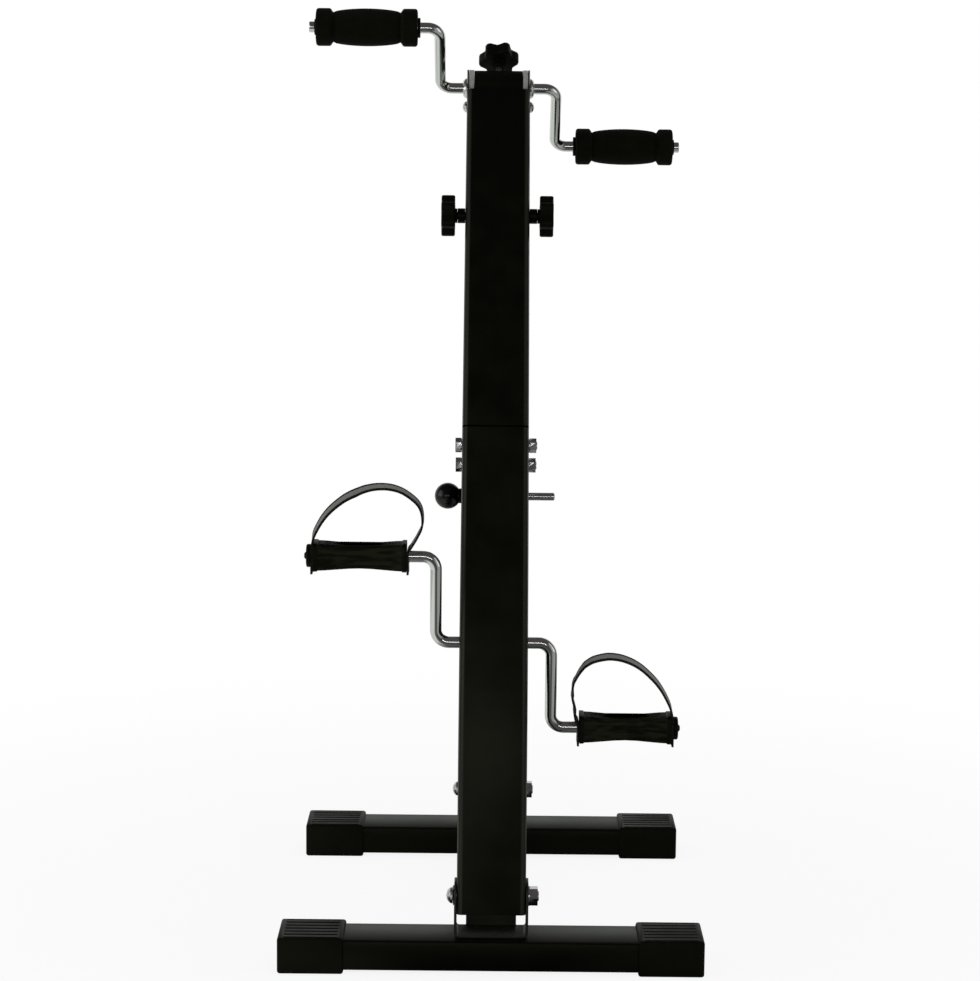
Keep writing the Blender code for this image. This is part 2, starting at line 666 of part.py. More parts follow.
def hinge_bracket(mast):
    """The U-bracket welded behind the post: two cheeks that hold the leg's pivot and the lock pin."""
    back = POST_DEPTH / 2 + SEAT_GAP
    turn = MAST_LEAN + LEG_LEAN
    pivot = (HINGE_BACK, -HINGE_DROP)
    lock = (pivot[0] + LOCK_DISTANCE * math.sin(turn), pivot[1] - LOCK_DISTANCE * math.cos(turn))
    slope = math.degrees(turn)
    outline = [(back, pivot[1] + HINGE_EYE)]
    outline += list(reversed(arc(pivot, HINGE_EYE, slope, 90, 6)))[0:]
    outline += list(reversed(arc(lock, LOCK_EYE, -90, slope, 8)))
    outline += [(back, lock[1] - LOCK_EYE - (lock[0] - back) * math.tan(math.radians(30)) * 0.2)]
    outline = list(reversed(outline))
    bracket = part("hinge_bracket", prism(outline, -POST_HALF, POST_HALF, "X"), "black_paint", mast)
    room = [(back + HINGE_WALL, -1), (1, -1), (1, 1), (back + HINGE_WALL, 1)]
    shape(bracket, prism(room, -HINGE_INNER, HINGE_INNER, "X"))
    cross_hole(bracket, *pivot, BOLT_RADIUS)
    cross_hole(bracket, *lock, LOCK_PIN_RADIUS)
    return lock


def rear_leg(leg):
    """The straight tube of the rear leg, with a round head at the pivot and a hooked notch for the pin."""
    outer = rounded_rectangle(LEG_WIDTH, LEG_DEPTH, LEG_CORNER)
    inner = rounded_rectangle(LEG_WIDTH - 2 * LEG_WALL, LEG_DEPTH - 2 * LEG_WALL, LEG_CORNER - LEG_WALL)
    bottom = -LEG_LENGTH - LEG_TAIL
    tube = part("rear_leg", prism(outer, bottom, LEG_DEPTH / 2), "black_paint", leg)
    shape(tube, prism(inner, 2 * bottom, LEG_DEPTH))
    half = LEG_DEPTH / 2
    for way in (-1, 1):
        corner = [(way * y, z) for y, z in arc((0, 0), half, 0, 90, 6)]
        corner += [(0, 2 * half), (way * 2 * half, 2 * half), (way * 2 * half, 0)]
        shape(tube, prism(corner, -LEG_WIDTH, LEG_WIDTH, "X"))
    cross_hole(tube, 0, 0, BOLT_RADIUS)
    cross_hole(tube, 0, -LEG_LENGTH, FOOT_BOLT_RADIUS)
    hole = LOCK_PIN_RADIUS + LEG_NOTCH_PLAY
    notch = arc((0, -LOCK_DISTANCE), hole, 90, 270, 8)
    lift = LEG_DEPTH ** 2 / (2 * LOCK_DISTANCE)
    notch += [(LEG_DEPTH, -LOCK_DISTANCE - hole), (LEG_DEPTH, -LOCK_DISTANCE + hole + lift)]
    shape(tube, prism(notch, -LEG_WIDTH, LEG_WIDTH, "X"))
    for side_name, side in SIDES:
        ring("leg_washer_" + side_name, side, 0.6 * HINGE_EYE, BOLT_RADIUS, LEG_WIDTH / 2 + SEAT_GAP,
             HINGE_INNER - SEAT_GAP, "nylon", leg)
    return tube


def lock_pin(frame):
    """The through pin with its ball knob on the left."""
    start = LOCK_BALL_X + LOCK_PIN_HOLD / 2
    end = POST_HALF + LOCK_PIN_OUT
    pin = part("lock_pin", cylinder(LOCK_PIN_RADIUS, start, end), "zinc", frame)
    round_edges(pin, 0.0010)
    face = -POST_HALF - SEAT_GAP - LOCK_BALL_X
    hold = LOCK_PIN_RADIUS + BORE_GAP
    seat = math.sqrt(LOCK_BALL_RADIUS ** 2 - LOCK_COLLAR_RADIUS ** 2)
    limit = math.degrees(math.asin(seat / LOCK_BALL_RADIUS))
    ball = arc((0, 0), LOCK_BALL_RADIUS, limit, -90, 9)
    deep = LOCK_PIN_HOLD / 2 - SEAT_GAP
    profile = [(0, deep), (hold, deep), (hold, face), (LOCK_COLLAR_RADIUS, face)] + ball
    knob = part("lock_ball", turned(profile, 20, "X"), "gloss_black", frame)
    knob.location = (LOCK_BALL_X, 0, 0)
    return pin


def mast_tube(mast):
    """The outer mast: a tube whose sides end in round ears about the hand shaft."""
    start = SEAM_GAP
    outer = rounded_rectangle(POST_WIDTH, POST_DEPTH, POST_CORNER)
    inner = rounded_rectangle(POST_WIDTH - 2 * POST_WALL, POST_DEPTH - 2 * POST_WALL, POST_CORNER - POST_WALL)
    ear = POST_DEPTH / 2
    tube = part("mast_tube", prism(outer, start, MAST_LENGTH + ear), "black_paint", mast)
    shape(tube, prism(inner, -1, 1))
    top = 2 * MAST_LENGTH
    inside = POST_HALF - POST_WALL
    shape(tube, block((2 * inside, 2 * POST_DEPTH, top), (0, 0, MAST_LENGTH - MAST_FRONT_DOWN + top / 2)))
    for way in (-1, 1):
        corner = [(way * y, z + MAST_LENGTH) for y, z in arc((0, 0), ear, 0, 90, 8)]
        corner += [(0, top), (way * 2 * ear, top), (way * 2 * ear, MAST_LENGTH)]
        shape(tube, prism(corner, -POST_WIDTH, POST_WIDTH, "X"))
    cross_hole(tube, 0, MAST_LENGTH, ROD_RADIUS)
    cross_hole(tube, 0, MAST_LENGTH - HEAD_BOLT_DOWN, HEAD_BOLT_RADIUS)
    cross_hole(tube, 0, CLAMP_UP, SCREW_RADIUS)
    return tube


def star_outline():
    """The knob's lobed outline."""
    steps = KNOB_LOBES * 6
    turns = [2 * math.pi * i / steps + KNOB_TURN for i in range(steps)]
    reach = [KNOB_RADIUS + KNOB_LOBE * math.cos(KNOB_LOBES * (t - KNOB_TURN)) for t in turns]
    return [(r * math.cos(t), r * math.sin(t)) for r, t in zip(reach, turns)]


def star_knob(name, frame, hub_face, axis, side=1, hub_length=KNOB_HUB_LENGTH):
    """A star knob whose hub's face lies at a distance along an axis from the frame."""
    start = hub_face + hub_length
    low, high = sorted((side * start, side * (start + KNOB_THICK)))
    knob = part(name, prism(star_outline(), low, high, axis), "black_plastic", frame)
    round_edges(knob, KNOB_EDGE)
    low, high = sorted((side * hub_face, side * (start + KNOB_THICK / 2)))
    shape(knob, cylinder(KNOB_HUB_RADIUS, low, high, axis), "UNION")
    return knob


def side_clamp(side_name, side, frame):
    """A threaded bush on the mast's side, and a knob whose stud presses on the inner tube."""
    face = POST_HALF + SEAT_GAP
    bush_end = face + CLAMP_BUSH_LENGTH
    ring("clamp_bush_" + side_name, side, CLAMP_BUSH_RADIUS, SCREW_RADIUS, face, bush_end, "black_paint", frame)
    knob = star_knob("clamp_knob_" + side_name, frame, bush_end + SEAT_GAP, "X", side)
    low, high = sorted((side * (INSERT_WIDTH / 2 + SEAT_GAP), side * (bush_end + KNOB_THICK / 2)))
    shape(knob, cylinder(SCREW_RADIUS, low, high), "UNION")
    return knob


def brake_cutouts(target, screw_lean, width):
    """The shaft's bore and the shoe's and screw's pocket in a brake block."""
    shape(target, cylinder(ROD_RADIUS + BORE_GAP, -width, width))
    pocket = cylinder(SHOE_RADIUS + BORE_GAP, 0, 2 * BLOCK_RADIUS, "Z")
    pocket.transform(Matrix.Rotation(-screw_lean, 4, "X"))
    shape(target, pocket)


def head_block(head):
    """The plastic brake block between the mast's ears, with a tongue down into the mast."""
    half = BLOCK_WIDTH / 2
    side = BLOCK_TONGUE_DEPTH / 2
    rise = math.degrees(math.asin(side / BLOCK_RADIUS))
    outline = arc((0, 0), BLOCK_RADIUS, -90 + rise, 270 - rise, 24)
    outline += [(-side, -BLOCK_TONGUE_DOWN), (side, -BLOCK_TONGUE_DOWN)]
    made = part("head_block", prism(outline, -half, half, "X"), "black_plastic", head)
    cross_hole(made, 0, -HEAD_BOLT_DOWN, HEAD_BOLT_RADIUS)
    brake_cutouts(made, HEAD_SCREW_LEAN, BLOCK_WIDTH)
    return made


def head_bolt(head):
    """The thin bolt that holds the block in the mast, with a round head at each end."""
    face = POST_HALF + SEAT_GAP
    bolt = cylinder(HEAD_BOLT_RADIUS, -face - HEAD_DOME_HEIGHT / 2, face + HEAD_DOME_HEIGHT / 2)
    made = part("head_bolt", bolt, "chrome", head)
    made.location = (0, 0, -HEAD_BOLT_DOWN)
    for side in (-1, 1):
        shape(made, dome(HEAD_DOME_RADIUS, HEAD_DOME_HEIGHT, face, side), "UNION")
    return made


def crank(name, frame, arm):
    """One rod bent twice at each side: up on the left, down on the right."""
    reach = CRANK_RADIUS
    out = PEDAL_INNER + PEDAL_LENGTH + STRAP_THICK + 2 * SEAT_GAP
    if name.startswith("hand"):
        out = GRIP_INNER + GRIP_LENGTH + GRIP_ROD_OUT
    corners = [(-out, 0, reach), (-arm, 0, reach), (-arm, 0, 0), (arm, 0, 0), (arm, 0, -reach), (out, 0, -reach)]
    return part(name, wire(fillet_path(corners, ROD_BEND), ROD_RADIUS), "chrome", frame)


def push_cap(name, side, frame):
    """A domed push-on cap that holds the shaft sideways, outside the mast's wall."""
    face = POST_HALF + SEAT_GAP
    bore = ROD_RADIUS + BORE_GAP
    curve = [(bore + (PUSH_CAP_RADIUS - bore) * math.cos(t), face + PUSH_CAP_THICK * math.sin(t))
             for t in [math.radians(90 - 90 * i / 4) for i in range(5)]]
    mesh = turned(curve + [(bore, face)], 24, "Z", closed=True)
    return part(name, mirrored_to(mesh, side), "chrome", frame)


def hand_grip(name, side, frame):
    """A moulded grip that spins on the rod: a flange at each end and a crowned barrel between."""
    bore = ROD_RADIUS + BORE_GAP
    soft = GRIP_ROUND
    end = GRIP_LENGTH
    wide = GRIP_FLANGE_RADIUS
    start = end - GRIP_FLANGE_LENGTH
    profile = [(bore, end), (wide - soft, end), (wide - 0.3 * soft, end - 0.3 * soft), (wide, end - soft)]
    profile += [(wide, start + soft), (wide - 0.6 * soft, start), (GRIP_NECK_RADIUS, start - soft)]
    length = start - soft - GRIP_FLANGE_LENGTH - soft
    for i in range(1, GRIP_STEPS):
        swell = math.sin(math.pi * i / GRIP_STEPS) ** 0.55
        radius = GRIP_NECK_RADIUS + (GRIP_BARREL_RADIUS - GRIP_NECK_RADIUS) * swell
        profile.append((radius, start - soft - length * i / GRIP_STEPS))
    lower = [(radius, end - height) for radius, height in reversed(profile[:7])]
    profile += lower
    mesh = turned(profile, ROUND_SIDES, "Z", closed=True)
    mesh.transform(Matrix.Translation((0, 0, GRIP_INNER)))
    return part(name, mirrored_to(mesh, side), "foam", frame)


def grip_stops(side_name, side, crank_frame):
    """The collar inside a grip and the push washer outside it, on the crank's rod."""
    inner_end = GRIP_INNER - SEAT_GAP
    outer = GRIP_INNER + GRIP_LENGTH + SEAT_GAP
    collar = ring("grip_collar_" + side_name, side, GRIP_COLLAR_RADIUS, ROD_RADIUS, inner_end - GRIP_COLLAR_LENGTH,
                  inner_end, "black_plastic", crank_frame)
    washer = ring("grip_washer_" + side_name, side, GRIP_WASHER_RADIUS, ROD_RADIUS, outer,
                  outer + GRIP_WASHER_THICK, "black_plastic", crank_frame)
    collar.location.z = -side * CRANK_RADIUS
    washer.location.z = -side * CRANK_RADIUS


def tension_set(prefix, frame, lean, shoe_start, reach):
    """A tension knob with its screw, and the shoe that the screw presses on the shaft."""
    knob_axis = empty(prefix + "_tension_axis", frame, (0, 0, 0), -lean)
    hub_face = reach - TENSION_HUB_LENGTH
    star_knob(prefix + "_tension_knob", knob_axis, hub_face, "Z", 1, TENSION_HUB_LENGTH)
    low = shoe_start + SHOE_LENGTH + SEAT_GAP
    screw = cylinder(SCREW_RADIUS, low, hub_face - SEAT_GAP, "Z")
    part(prefix + "_tension_screw", screw, "zinc", knob_axis)
    shoe = cylinder(SHOE_RADIUS, shoe_start, shoe_start + SHOE_LENGTH, "Z")
    part(prefix + "_brake_shoe", shoe, "nylon", knob_axis)


def pedal_block(frame):
    """The pedal shaft's brake block inside the lower post."""
    half = POST_HALF - POST_WALL - SEAT_GAP
    body = cylinder(PEDAL_BLOCK_RADIUS, -half, half, "X", (0, 0), ROUND_SIDES)
    made = part("pedal_block", body, "black_plastic", frame)
    round_edges(made, POST_CORNER / 2)
    brake_cutouts(made, PEDAL_SCREW_LEAN, POST_WIDTH)
    return made


def pedal_section(across, top, bottom, corner, steps=3):
    """Half-depth, top and bottom of a pedal's section as a closed ring of (y, z)."""
    points = []
    for i, (sy, level) in enumerate(((1, top), (-1, top), (-1, -bottom), (1, -bottom))):
        inward = 1 if level < 0 else -1
        centre = (sy * (across - corner), level + inward * corner)
        points += arc(centre, corner, 90 * i, 90 * i + 90, steps)
    return points


def pedal(name, side, frame):
    """A waisted pedal, lofted through its sections, with a bore and tread grooves."""
    half = PEDAL_LENGTH / 2
    rim = PEDAL_RIM_LENGTH
    stations = [-half, -half + rim, -half + rim + PEDAL_RIM] + [half * (0.75 * i / 3) for i in range(-3, 4)]
    stations += [half - rim - PEDAL_RIM, half - rim, half]
    work = bmesh.new()
    rings = []
    for x in stations:
        waist = math.cos(0.5 * math.pi * x / half) ** 2
        edge = PEDAL_RIM if abs(x) >= half - rim else 0
        across = PEDAL_DEPTH / 2 - PEDAL_RIM - PEDAL_WAIST_DEPTH * waist + edge
        thin = PEDAL_WAIST_HEIGHT * waist
        top = PEDAL_TOP - PEDAL_RIM - thin + edge
        bottom = PEDAL_BOTTOM - PEDAL_RIM - thin + edge
        section = pedal_section(across, top, bottom, PEDAL_CORNER)
        rings.append([work.verts.new((x, y, z)) for y, z in section])
    for first, second in zip(rings, rings[1:]):
        for i in range(len(first)):
            j = (i + 1) % len(first)
            work.faces.new((first[i], first[j], second[j], second[i]))
    work.faces.new(rings[0])
    work.faces.new(rings[-1])
    bmesh.ops.recalc_face_normals(work, faces=work.faces)
    mesh = bpy.data.meshes.new(name)
    work.to_mesh(mesh)
    work.free()
    middle = side * (PEDAL_INNER + half)
    mesh.transform(Matrix.Translation((middle, 0, 0)))
    body = part(name, mesh, "black_plastic", frame)
    shape(body, cylinder(ROD_RADIUS + BORE_GAP, middle - PEDAL_LENGTH, middle + PEDAL_LENGTH))
    length = PEDAL_LENGTH - 2 * PEDAL_TREAD_END
    floor = PEDAL_TOP - PEDAL_RIM - PEDAL_TREAD_DEPTH
    for i in range(PEDAL_TREADS):
        y = PEDAL_TREAD_PITCH * (i - (PEDAL_TREADS - 1) / 2)
        place = (middle, y, floor + PEDAL_TOP / 2)
        shape(body, block((length, PEDAL_TREAD_WIDTH, PEDAL_TOP), place))
    return body


def strap_line(side):
    """The strap's middle line round the foot, as (x, z) from the pedal's middle, x outwards from the post."""
    end = PEDAL_LENGTH / 2 + SEAT_GAP + STRAP_THICK / 2
    span = 2 * end
    rise = STRAP_RISE
    inner = [(-0.037, 0.152), (-0.100, 0.297), (-0.148, 0.478), (-0.106, 0.735), (0.085, 0.930)]
    outer = [(0.285, 1.0), (0.476, 0.980), (0.677, 0.855), (0.846, 0.640), (0.968, 0.360), (1.0, 0.180)]
    over = [(-end + span * x, rise * z) for x, z in inner + outer]
    knots = [(-end, -STRAP_TAIL), (-end, 0.06 * rise)] + over + [(end, 0.06 * rise), (end, -STRAP_TAIL)]
    return smooth_line(knots, 3)


def smooth_line(knots, steps):
    """A smooth line through knots, with a few points between each two."""
    places = [Vector(k) for k in knots]
    line = []
    for i in range(len(places) - 1):
        before = places[max(i - 1, 0)]
        start, end = places[i], places[i + 1]
        after = places[min(i + 2, len(places) - 1)]
        for j in range(steps):
            t = j / steps
            line.append(0.5 * ((2 * start) + (end - before) * t + (2 * before - 5 * start + 4 * end - after) * t ** 2
                               + (3 * start - before - 3 * end + after) * t ** 3))
    return line + [places[-1]]


def strap(name, side, frame):
    """A flat rubber strap from the spindle's inner end over the foot to the outer button."""
    middle = side * (PEDAL_INNER + PEDAL_LENGTH / 2)
    line = strap_line(side)
    work = bmesh.new()
    half = STRAP_WIDTH / 2
    rows = [[work.verts.new((middle + side * p.x, y, p.y)) for y in (-half, half)] for p in line]
    for (a, b), (c, d) in zip(rows, rows[1:]):
        work.faces.new((a, b, d, c))
    mesh = bpy.data.meshes.new(name)
    work.to_mesh(mesh)
    work.free()
    made = part(name, mesh, "rubber_strap", frame)
    wall = made.modifiers.new("thickness", "SOLIDIFY")
    wall.thickness = STRAP_THICK
    wall.offset = 0
    wall.use_even_offset = True
    shape(made, cylinder(STRAP_HOLE_RADIUS, -1, 1))
    return made


def pedal_button(name, side, frame):
    """The button outside the strap that caps the spindle and holds the strap's holes."""
    face = PEDAL_INNER + PEDAL_LENGTH + STRAP_THICK + 3 * SEAT_GAP
    top = face + BUTTON_THICK
    soft = 0.0010
    profile = [(0, top + BUTTON_NUB_HEIGHT), (0.6 * BUTTON_NUB_RADIUS, top + BUTTON_NUB_HEIGHT)]
    profile += [(BUTTON_NUB_RADIUS, top + 0.4 * BUTTON_NUB_HEIGHT), (BUTTON_NUB_RADIUS, top)]
    profile += [(BUTTON_RADIUS - soft, top), (BUTTON_RADIUS, top - soft), (BUTTON_RADIUS, face), (0, face)]
    return part(name, mirrored_to(turned(profile, 24, "Z"), side), "black_plastic", frame)


def feet(machine):
    """Both feet, each in its bolt's frame."""
    for prefix, y, facing in (("front", -BASE_SPACING / 2, 1), ("rear", BASE_SPACING / 2, -1)):
        frame = empty(prefix + "_foot_axis", machine, (0, y, FOOT_BOLT_HEIGHT))
        foot_bar(prefix + "_bar", frame)
        foot_cap(prefix + "_cap_left", -1, frame)
        foot_cap(prefix + "_cap_right", 1, frame)
        foot_bracket(prefix + "_bracket", facing, frame)
        foot_fastener(prefix + "_foot", frame)
    for side_name, side in SIDES:
        ring("rear_spacer_" + side_name, side, FOOT_WASHER_RADIUS, FOOT_BOLT_RADIUS, LEG_WIDTH / 2 + SEAT_GAP,
             BRACKET_INNER - SEAT_GAP, "nylon", frame)


def stand(machine, mast):
    """The lower post with its inner tube, hinge bracket and bolts, the leg and the lock pin."""
    lower_post(machine)
    mast_insert(mast)
    cross_bolt("insert", mast, 0, -INSERT_BOLT_DOWN)
    lock = hinge_bracket(mast)
    cross_bolt("hinge", mast, HINGE_BACK, -HINGE_DROP)
    leg = empty("leg_axis", machine, (0, HINGE_Y, HINGE_Z), LEG_LEAN)
    rear_leg(leg)
    lock_pin(empty("lock_axis", mast, (0, lock[0], lock[1])))


def mast_set(mast):
    """The mast with its clamp knobs and its head."""
    mast_tube(mast)
    clamp = empty("clamp_axis", mast, (0, 0, CLAMP_UP))
    for side_name, side in SIDES:
        side_clamp(side_name, side, clamp)
    head = empty("head_axis", mast, (0, 0, MAST_LENGTH))
    head_block(head)
    inner = BLOCK_WIDTH / 2 + SEAT_GAP
    outer = POST_HALF - POST_WALL - SEAT_GAP
    for side_name, side in SIDES:
        bush = ring("head_bush_" + side_name, side, BUSH_RADIUS, ROD_RADIUS, inner, outer, "nylon", head,
                    ROUND_SIDES)
        cross_hole(bush, 0, -HEAD_BOLT_DOWN, HEAD_BOLT_RADIUS)
    head_bolt(head)
    tension_set("hand", head, HEAD_SCREW_LEAN, ROD_RADIUS + SEAT_GAP, HEAD_KNOB_REACH)
    return head


def hand_crank(head):
    """The hand crank and its grips, on the mast's head."""
    axis = empty("hand_crank_axis", head, (0, 0, 0), MAST_LEAN + HAND_CRANK_REST)
    crank("hand_crank", axis, HAND_CRANK_ARM)
    for side_name, side in SIDES:
        push_cap("push_cap_" + side_name, side, axis)
        grip_stops(side_name, side, axis)
        grip = empty("grip_axis_" + side_name, axis, (0, 0, -side * CRANK_RADIUS))
        hand_grip("grip_" + side_name, side, grip)


def pedal_crank(machine):
    """The pedal crank with its brake and pedals, on the lower post."""
    y, z, lean = post_place(PEDAL_SHAFT_S)
    shaft = empty("pedal_shaft", machine, (0, y, z), -lean)
    pedal_block(shaft)
    tension_set("pedal", shaft, PEDAL_SCREW_LEAN, ROD_RADIUS + SEAT_GAP, PEDAL_KNOB_REACH)
    axis = empty("pedal_crank_axis", shaft, (0, 0, 0), lean + PEDAL_CRANK_REST)
    crank("pedal_crank", axis, PEDAL_CRANK_ARM)
    for side_name, side in SIDES:
        frame = empty("pedal_axis_" + side_name, axis, (0, 0, -side * CRANK_RADIUS), -PEDAL_CRANK_REST)
        pedal("pedal_" + side_name, side, frame)
        strap("strap_" + side_name, side, frame)
        pedal_button("pedal_button_" + side_name, side, frame)


def build():
    """The whole machine."""
    clear_scene()
    machine = empty("machine", None, (0, ORIGIN_SHIFT, 0))
    mast = empty("mast_axis", machine, (0, SEAM_Y, SEAM_Z), -MAST_LEAN)
    feet(machine)
    stand(machine, mast)
    head = mast_set(mast)
    hand_crank(head)
    pedal_crank(machine)
    bpy.context.view_layer.update()


build()
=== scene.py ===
"""Looks of the dual exercise bike: finishes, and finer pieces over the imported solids."""
import json
import math

import bmesh
import bpy
from mathutils import Matrix, Vector

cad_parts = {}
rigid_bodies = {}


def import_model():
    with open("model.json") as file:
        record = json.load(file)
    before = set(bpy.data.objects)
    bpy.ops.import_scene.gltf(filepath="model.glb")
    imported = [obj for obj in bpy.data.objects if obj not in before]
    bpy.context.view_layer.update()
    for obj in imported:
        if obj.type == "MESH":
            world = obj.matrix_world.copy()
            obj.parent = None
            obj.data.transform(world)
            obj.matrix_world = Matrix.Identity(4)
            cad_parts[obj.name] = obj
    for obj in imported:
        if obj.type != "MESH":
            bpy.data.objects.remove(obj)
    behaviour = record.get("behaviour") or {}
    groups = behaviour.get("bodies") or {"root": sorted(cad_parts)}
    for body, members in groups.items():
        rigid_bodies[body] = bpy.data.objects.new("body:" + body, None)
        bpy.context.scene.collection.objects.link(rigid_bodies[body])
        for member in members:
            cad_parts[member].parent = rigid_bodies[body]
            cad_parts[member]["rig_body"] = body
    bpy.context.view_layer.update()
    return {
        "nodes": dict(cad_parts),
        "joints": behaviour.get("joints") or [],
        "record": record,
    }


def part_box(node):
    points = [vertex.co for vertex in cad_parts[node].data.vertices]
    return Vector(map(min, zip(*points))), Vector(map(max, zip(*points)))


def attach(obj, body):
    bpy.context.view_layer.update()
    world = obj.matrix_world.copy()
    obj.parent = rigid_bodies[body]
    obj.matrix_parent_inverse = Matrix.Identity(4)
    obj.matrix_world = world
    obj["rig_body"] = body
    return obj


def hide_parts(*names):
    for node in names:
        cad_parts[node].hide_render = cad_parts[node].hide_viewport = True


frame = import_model()
nodes = frame["nodes"]
joints = {joint["name"]: joint for joint in frame["joints"]}
slot_of = {entry["node"]: entry["material_slot"] for entry in frame["record"]["subparts"]}
SIDES = (("left", -1), ("right", 1))

# The photograph's camera, from the middle of the feet. Lengths are in metres throughout.
CAMERA_FOCAL_PX = 2659
IMAGE_WIDTH_PX = 980
SENSOR_WIDTH_MM = 36.0
CAMERA_BACK = 2.753
CAMERA_HEIGHT = 0.8495
CAMERA_SIDE = -0.0051
CAMERA_PITCH = math.radians(8.32)
CAMERA_ROLL = math.radians(0.55)

# The stage. The camera sees plain white over the floor's shading: a share of SHADOW_HIDDEN near the object,
# and all of it far off.
WORLD_LIGHT = 0.5
LIGHTS_AIM = Vector((0, 0, 0.45))
FLOOR_REACH = 40
SHADOW_NEAR = 0.35
SHADOW_FAR = 1.3
SHADOW_HIDDEN = 0.88

# What reflections see: walls and floor by (degrees rightwards from the front, level), and a dark ceiling.
# The walls give way to the ceiling over MIRRORED_RISE, and higher up by MIRRORED_BEHIND on the far side.
MIRRORED_TINT = (0.96, 1.0, 0.94)
MIRRORED_TOP = (0.072, 0.060, 0.064)
MIRRORED_RISE = (0.10, 0.45)
MIRRORED_BEHIND = 0.35
MIRRORED_ROUND = (
    (-180, 0.75), (-132, 0.75), (-122, 0.46), (-14, 0.46), (-5, 0.07), (28, 0.05), (38, 0.33),
    (96, 0.30), (104, 0.03), (118, 0.03), (128, 0.75), (180, 0.75),
)
FLOOR_ROUND = (
    (-180, 0.80), (-125, 0.95), (-28, 0.95), (-16, 0.22), (-4, 0.10), (12, 0.10), (24, 0.42), (90, 0.55),
    (112, 0.16), (130, 0.70), (180, 0.80),
)
# Painted shade in the floor that reflections see: its colour drops to FLOOR_UNDER under the object, over
# FLOOR_UNDER_REACH
FLOOR_UNDER = 0.30
FLOOR_UNDER_REACH = (0.10, 0.30)
FLOOR_EDGE = 1.15
FLOOR_EDGE_START = 0.95 * FLOOR_EDGE

# Paints: the warm tint of the blacks' gloss, and the orange peel
BLACK_TINT = (0.96, 1.0, 0.70)
PEEL_PER_METRE = 700
PEEL_DEPTH = 0.00006

# The tubes' paint: where it rolls over at a corner and how far it drops there, how fast the painted highlight
# at the corners ends at the side, its dusty clouds, and its painted shade by height, darker higher up
TUBE_HALF = 0.0340
TUBE_ROLL = 0.0060
TUBE_ROLL_DROP = 0.7
CORNER_HIGHLIGHT_END = 1.5
DUST_CLOUDS = 0.1
SHADE_HEIGHTS = (0.45, 0.85)
SHADE_LEVELS = (0.29, 0.24)

# The joint of the post and the mast, along the mast's axis: the solids' gap, the band of painted shade
# on each end, and how far each end is moved towards the other
MAST_LEAN = math.radians(32)
MAST_AXIS = Vector((0, math.sin(MAST_LEAN), math.cos(MAST_LEAN)))
SEAM_GAP = 0.0008
SEAM_SHADE = 0.0005
SEAM_CLOSE = 0.0003

# Bent rods: round sections, and the planes of their arms
ROD_RADIUS = 0.0058
ROD_BEND = 0.0130
ROD_STEPS = 32
BEND_STEPS = 14
ARM_PLANES = {"hand_crank": 0.0630, "pedal_crank": 0.0577}

# Grips
GRIP_ROUND = 0.0028
GRIP_BORE = ROD_RADIUS + 0.0004
GRIP_FLANGE_LENGTH = 0.0165
GRIP_FLANGE_TURN = 75
GRIP_NECK_RADIUS = 0.0156
GRIP_NECK_STEP = 0.0016
GRIP_CROWN_STEPS = 24
GRIP_CROWN_FULLNESS = 0.55
GRIP_CROWN_GAP = 0.0001

# The lock's ball
BALL_STEPS = 40
BALL_SEAM_DEPTH = 0.00012
BALL_COLLAR_RADIUS = 0.0078
BALL_COLLAR_EDGE = 0.0006
BALL_BORE_RADIUS = 0.0046
BALL_BORE_DEPTH = 0.004
ON_AXIS = 0.00001

# The straps' line over the foot, in shares of the pedal's width and of the rise above the pedal's middle
STRAP_THICK = 0.0020
STRAP_RISE = 0.0700
STRAP_SHOULDER = 0.06
STRAP_ROOT = 0.0042
STRAP_ROOT_REACH = 0.0001
STRAP_BELOW = 0.02
STRAP_INNER = ((-0.037, 0.152), (-0.100, 0.297), (-0.148, 0.478), (-0.106, 0.735), (0.085, 0.930))
STRAP_OUTER = ((0.285, 1.0), (0.476, 0.980), (0.677, 0.855), (0.846, 0.640), (0.968, 0.360), (1.0, 0.180))
STRAP_LINE_STEPS = 12
# Widths of the bands of painted shade along the strap's front and back edges
STRAP_FRONT_SHADE = 0.0035
STRAP_BACK_SHADE = 0.0065

# The straps' slack and twist: degrees from outwards, then millimetres of pull at the front and back edges.
# It is felt round PULL_CENTRE and grows in between the two heights of PULL_FADE.
PULL_CENTRE = 0.022
PULL_FADE = (0.008, 0.024)
STRAP_PULL = {
    "left": ((0, 0, 0), (45, 0.7, 1.3), (60, -0.8, 0.7), (80, -3.6, -1.0), (95, -5.1, -1.5),
             (125, -4.1, -0.8), (160, -2.3, 0.8), (180, -1.8, 1.0)),
    "right": ((0, -1, 0), (55, -0.5, 0.4), (80, 1.0, 1.6), (110, 2.2, 2.5), (125, 1.5, 1.3),
              (135, 0, -0.8), (150, -5.6, -7.5), (165, -8.8, -8.8), (180, -7.0, -6.4)),
}

# The pedals' smooth ends: their length, and how squarely a face looks outwards to be one of them
PEDAL_END = 0.0058
PEDAL_END_FACING = 0.5

# Eased edges by finish
EASED_WIDTHS = {"black_paint": 0.0006, "black_plastic": 0.0005, "chrome": 0.0003}
EASED_WIDTH = 0.0004

# What all pieces share: the gap at a seat, the steps of a full turn, and what counts as one place or face
SEAT_GAP = 0.0003
ROUND_STEPS = 64
MILLIMETRE = 0.001
WELD_REACH = 0.000004
FLAT_ANGLE = math.radians(0.4)
TINY = 0.000001


def middle(name):
    """The middle of a solid's box."""
    low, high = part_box(name)
    return (low + high) / 2


# Shader nodes

def new_material(name, base, roughness, metallic=0.0, specular=0.5):
    """A Principled material with its node tree and its shader."""
    made = bpy.data.materials.new(name)
    made.use_nodes = True
    tree = made.node_tree
    shader = tree.nodes["Principled BSDF"]
    shader.inputs["Base Color"].default_value = (*base, 1)
    shader.inputs["Roughness"].default_value = roughness
    shader.inputs["Metallic"].default_value = metallic
    shader.inputs["Specular IOR Level"].default_value = specular
    made.diffuse_color = (*base, 1)
    return made, tree, shader


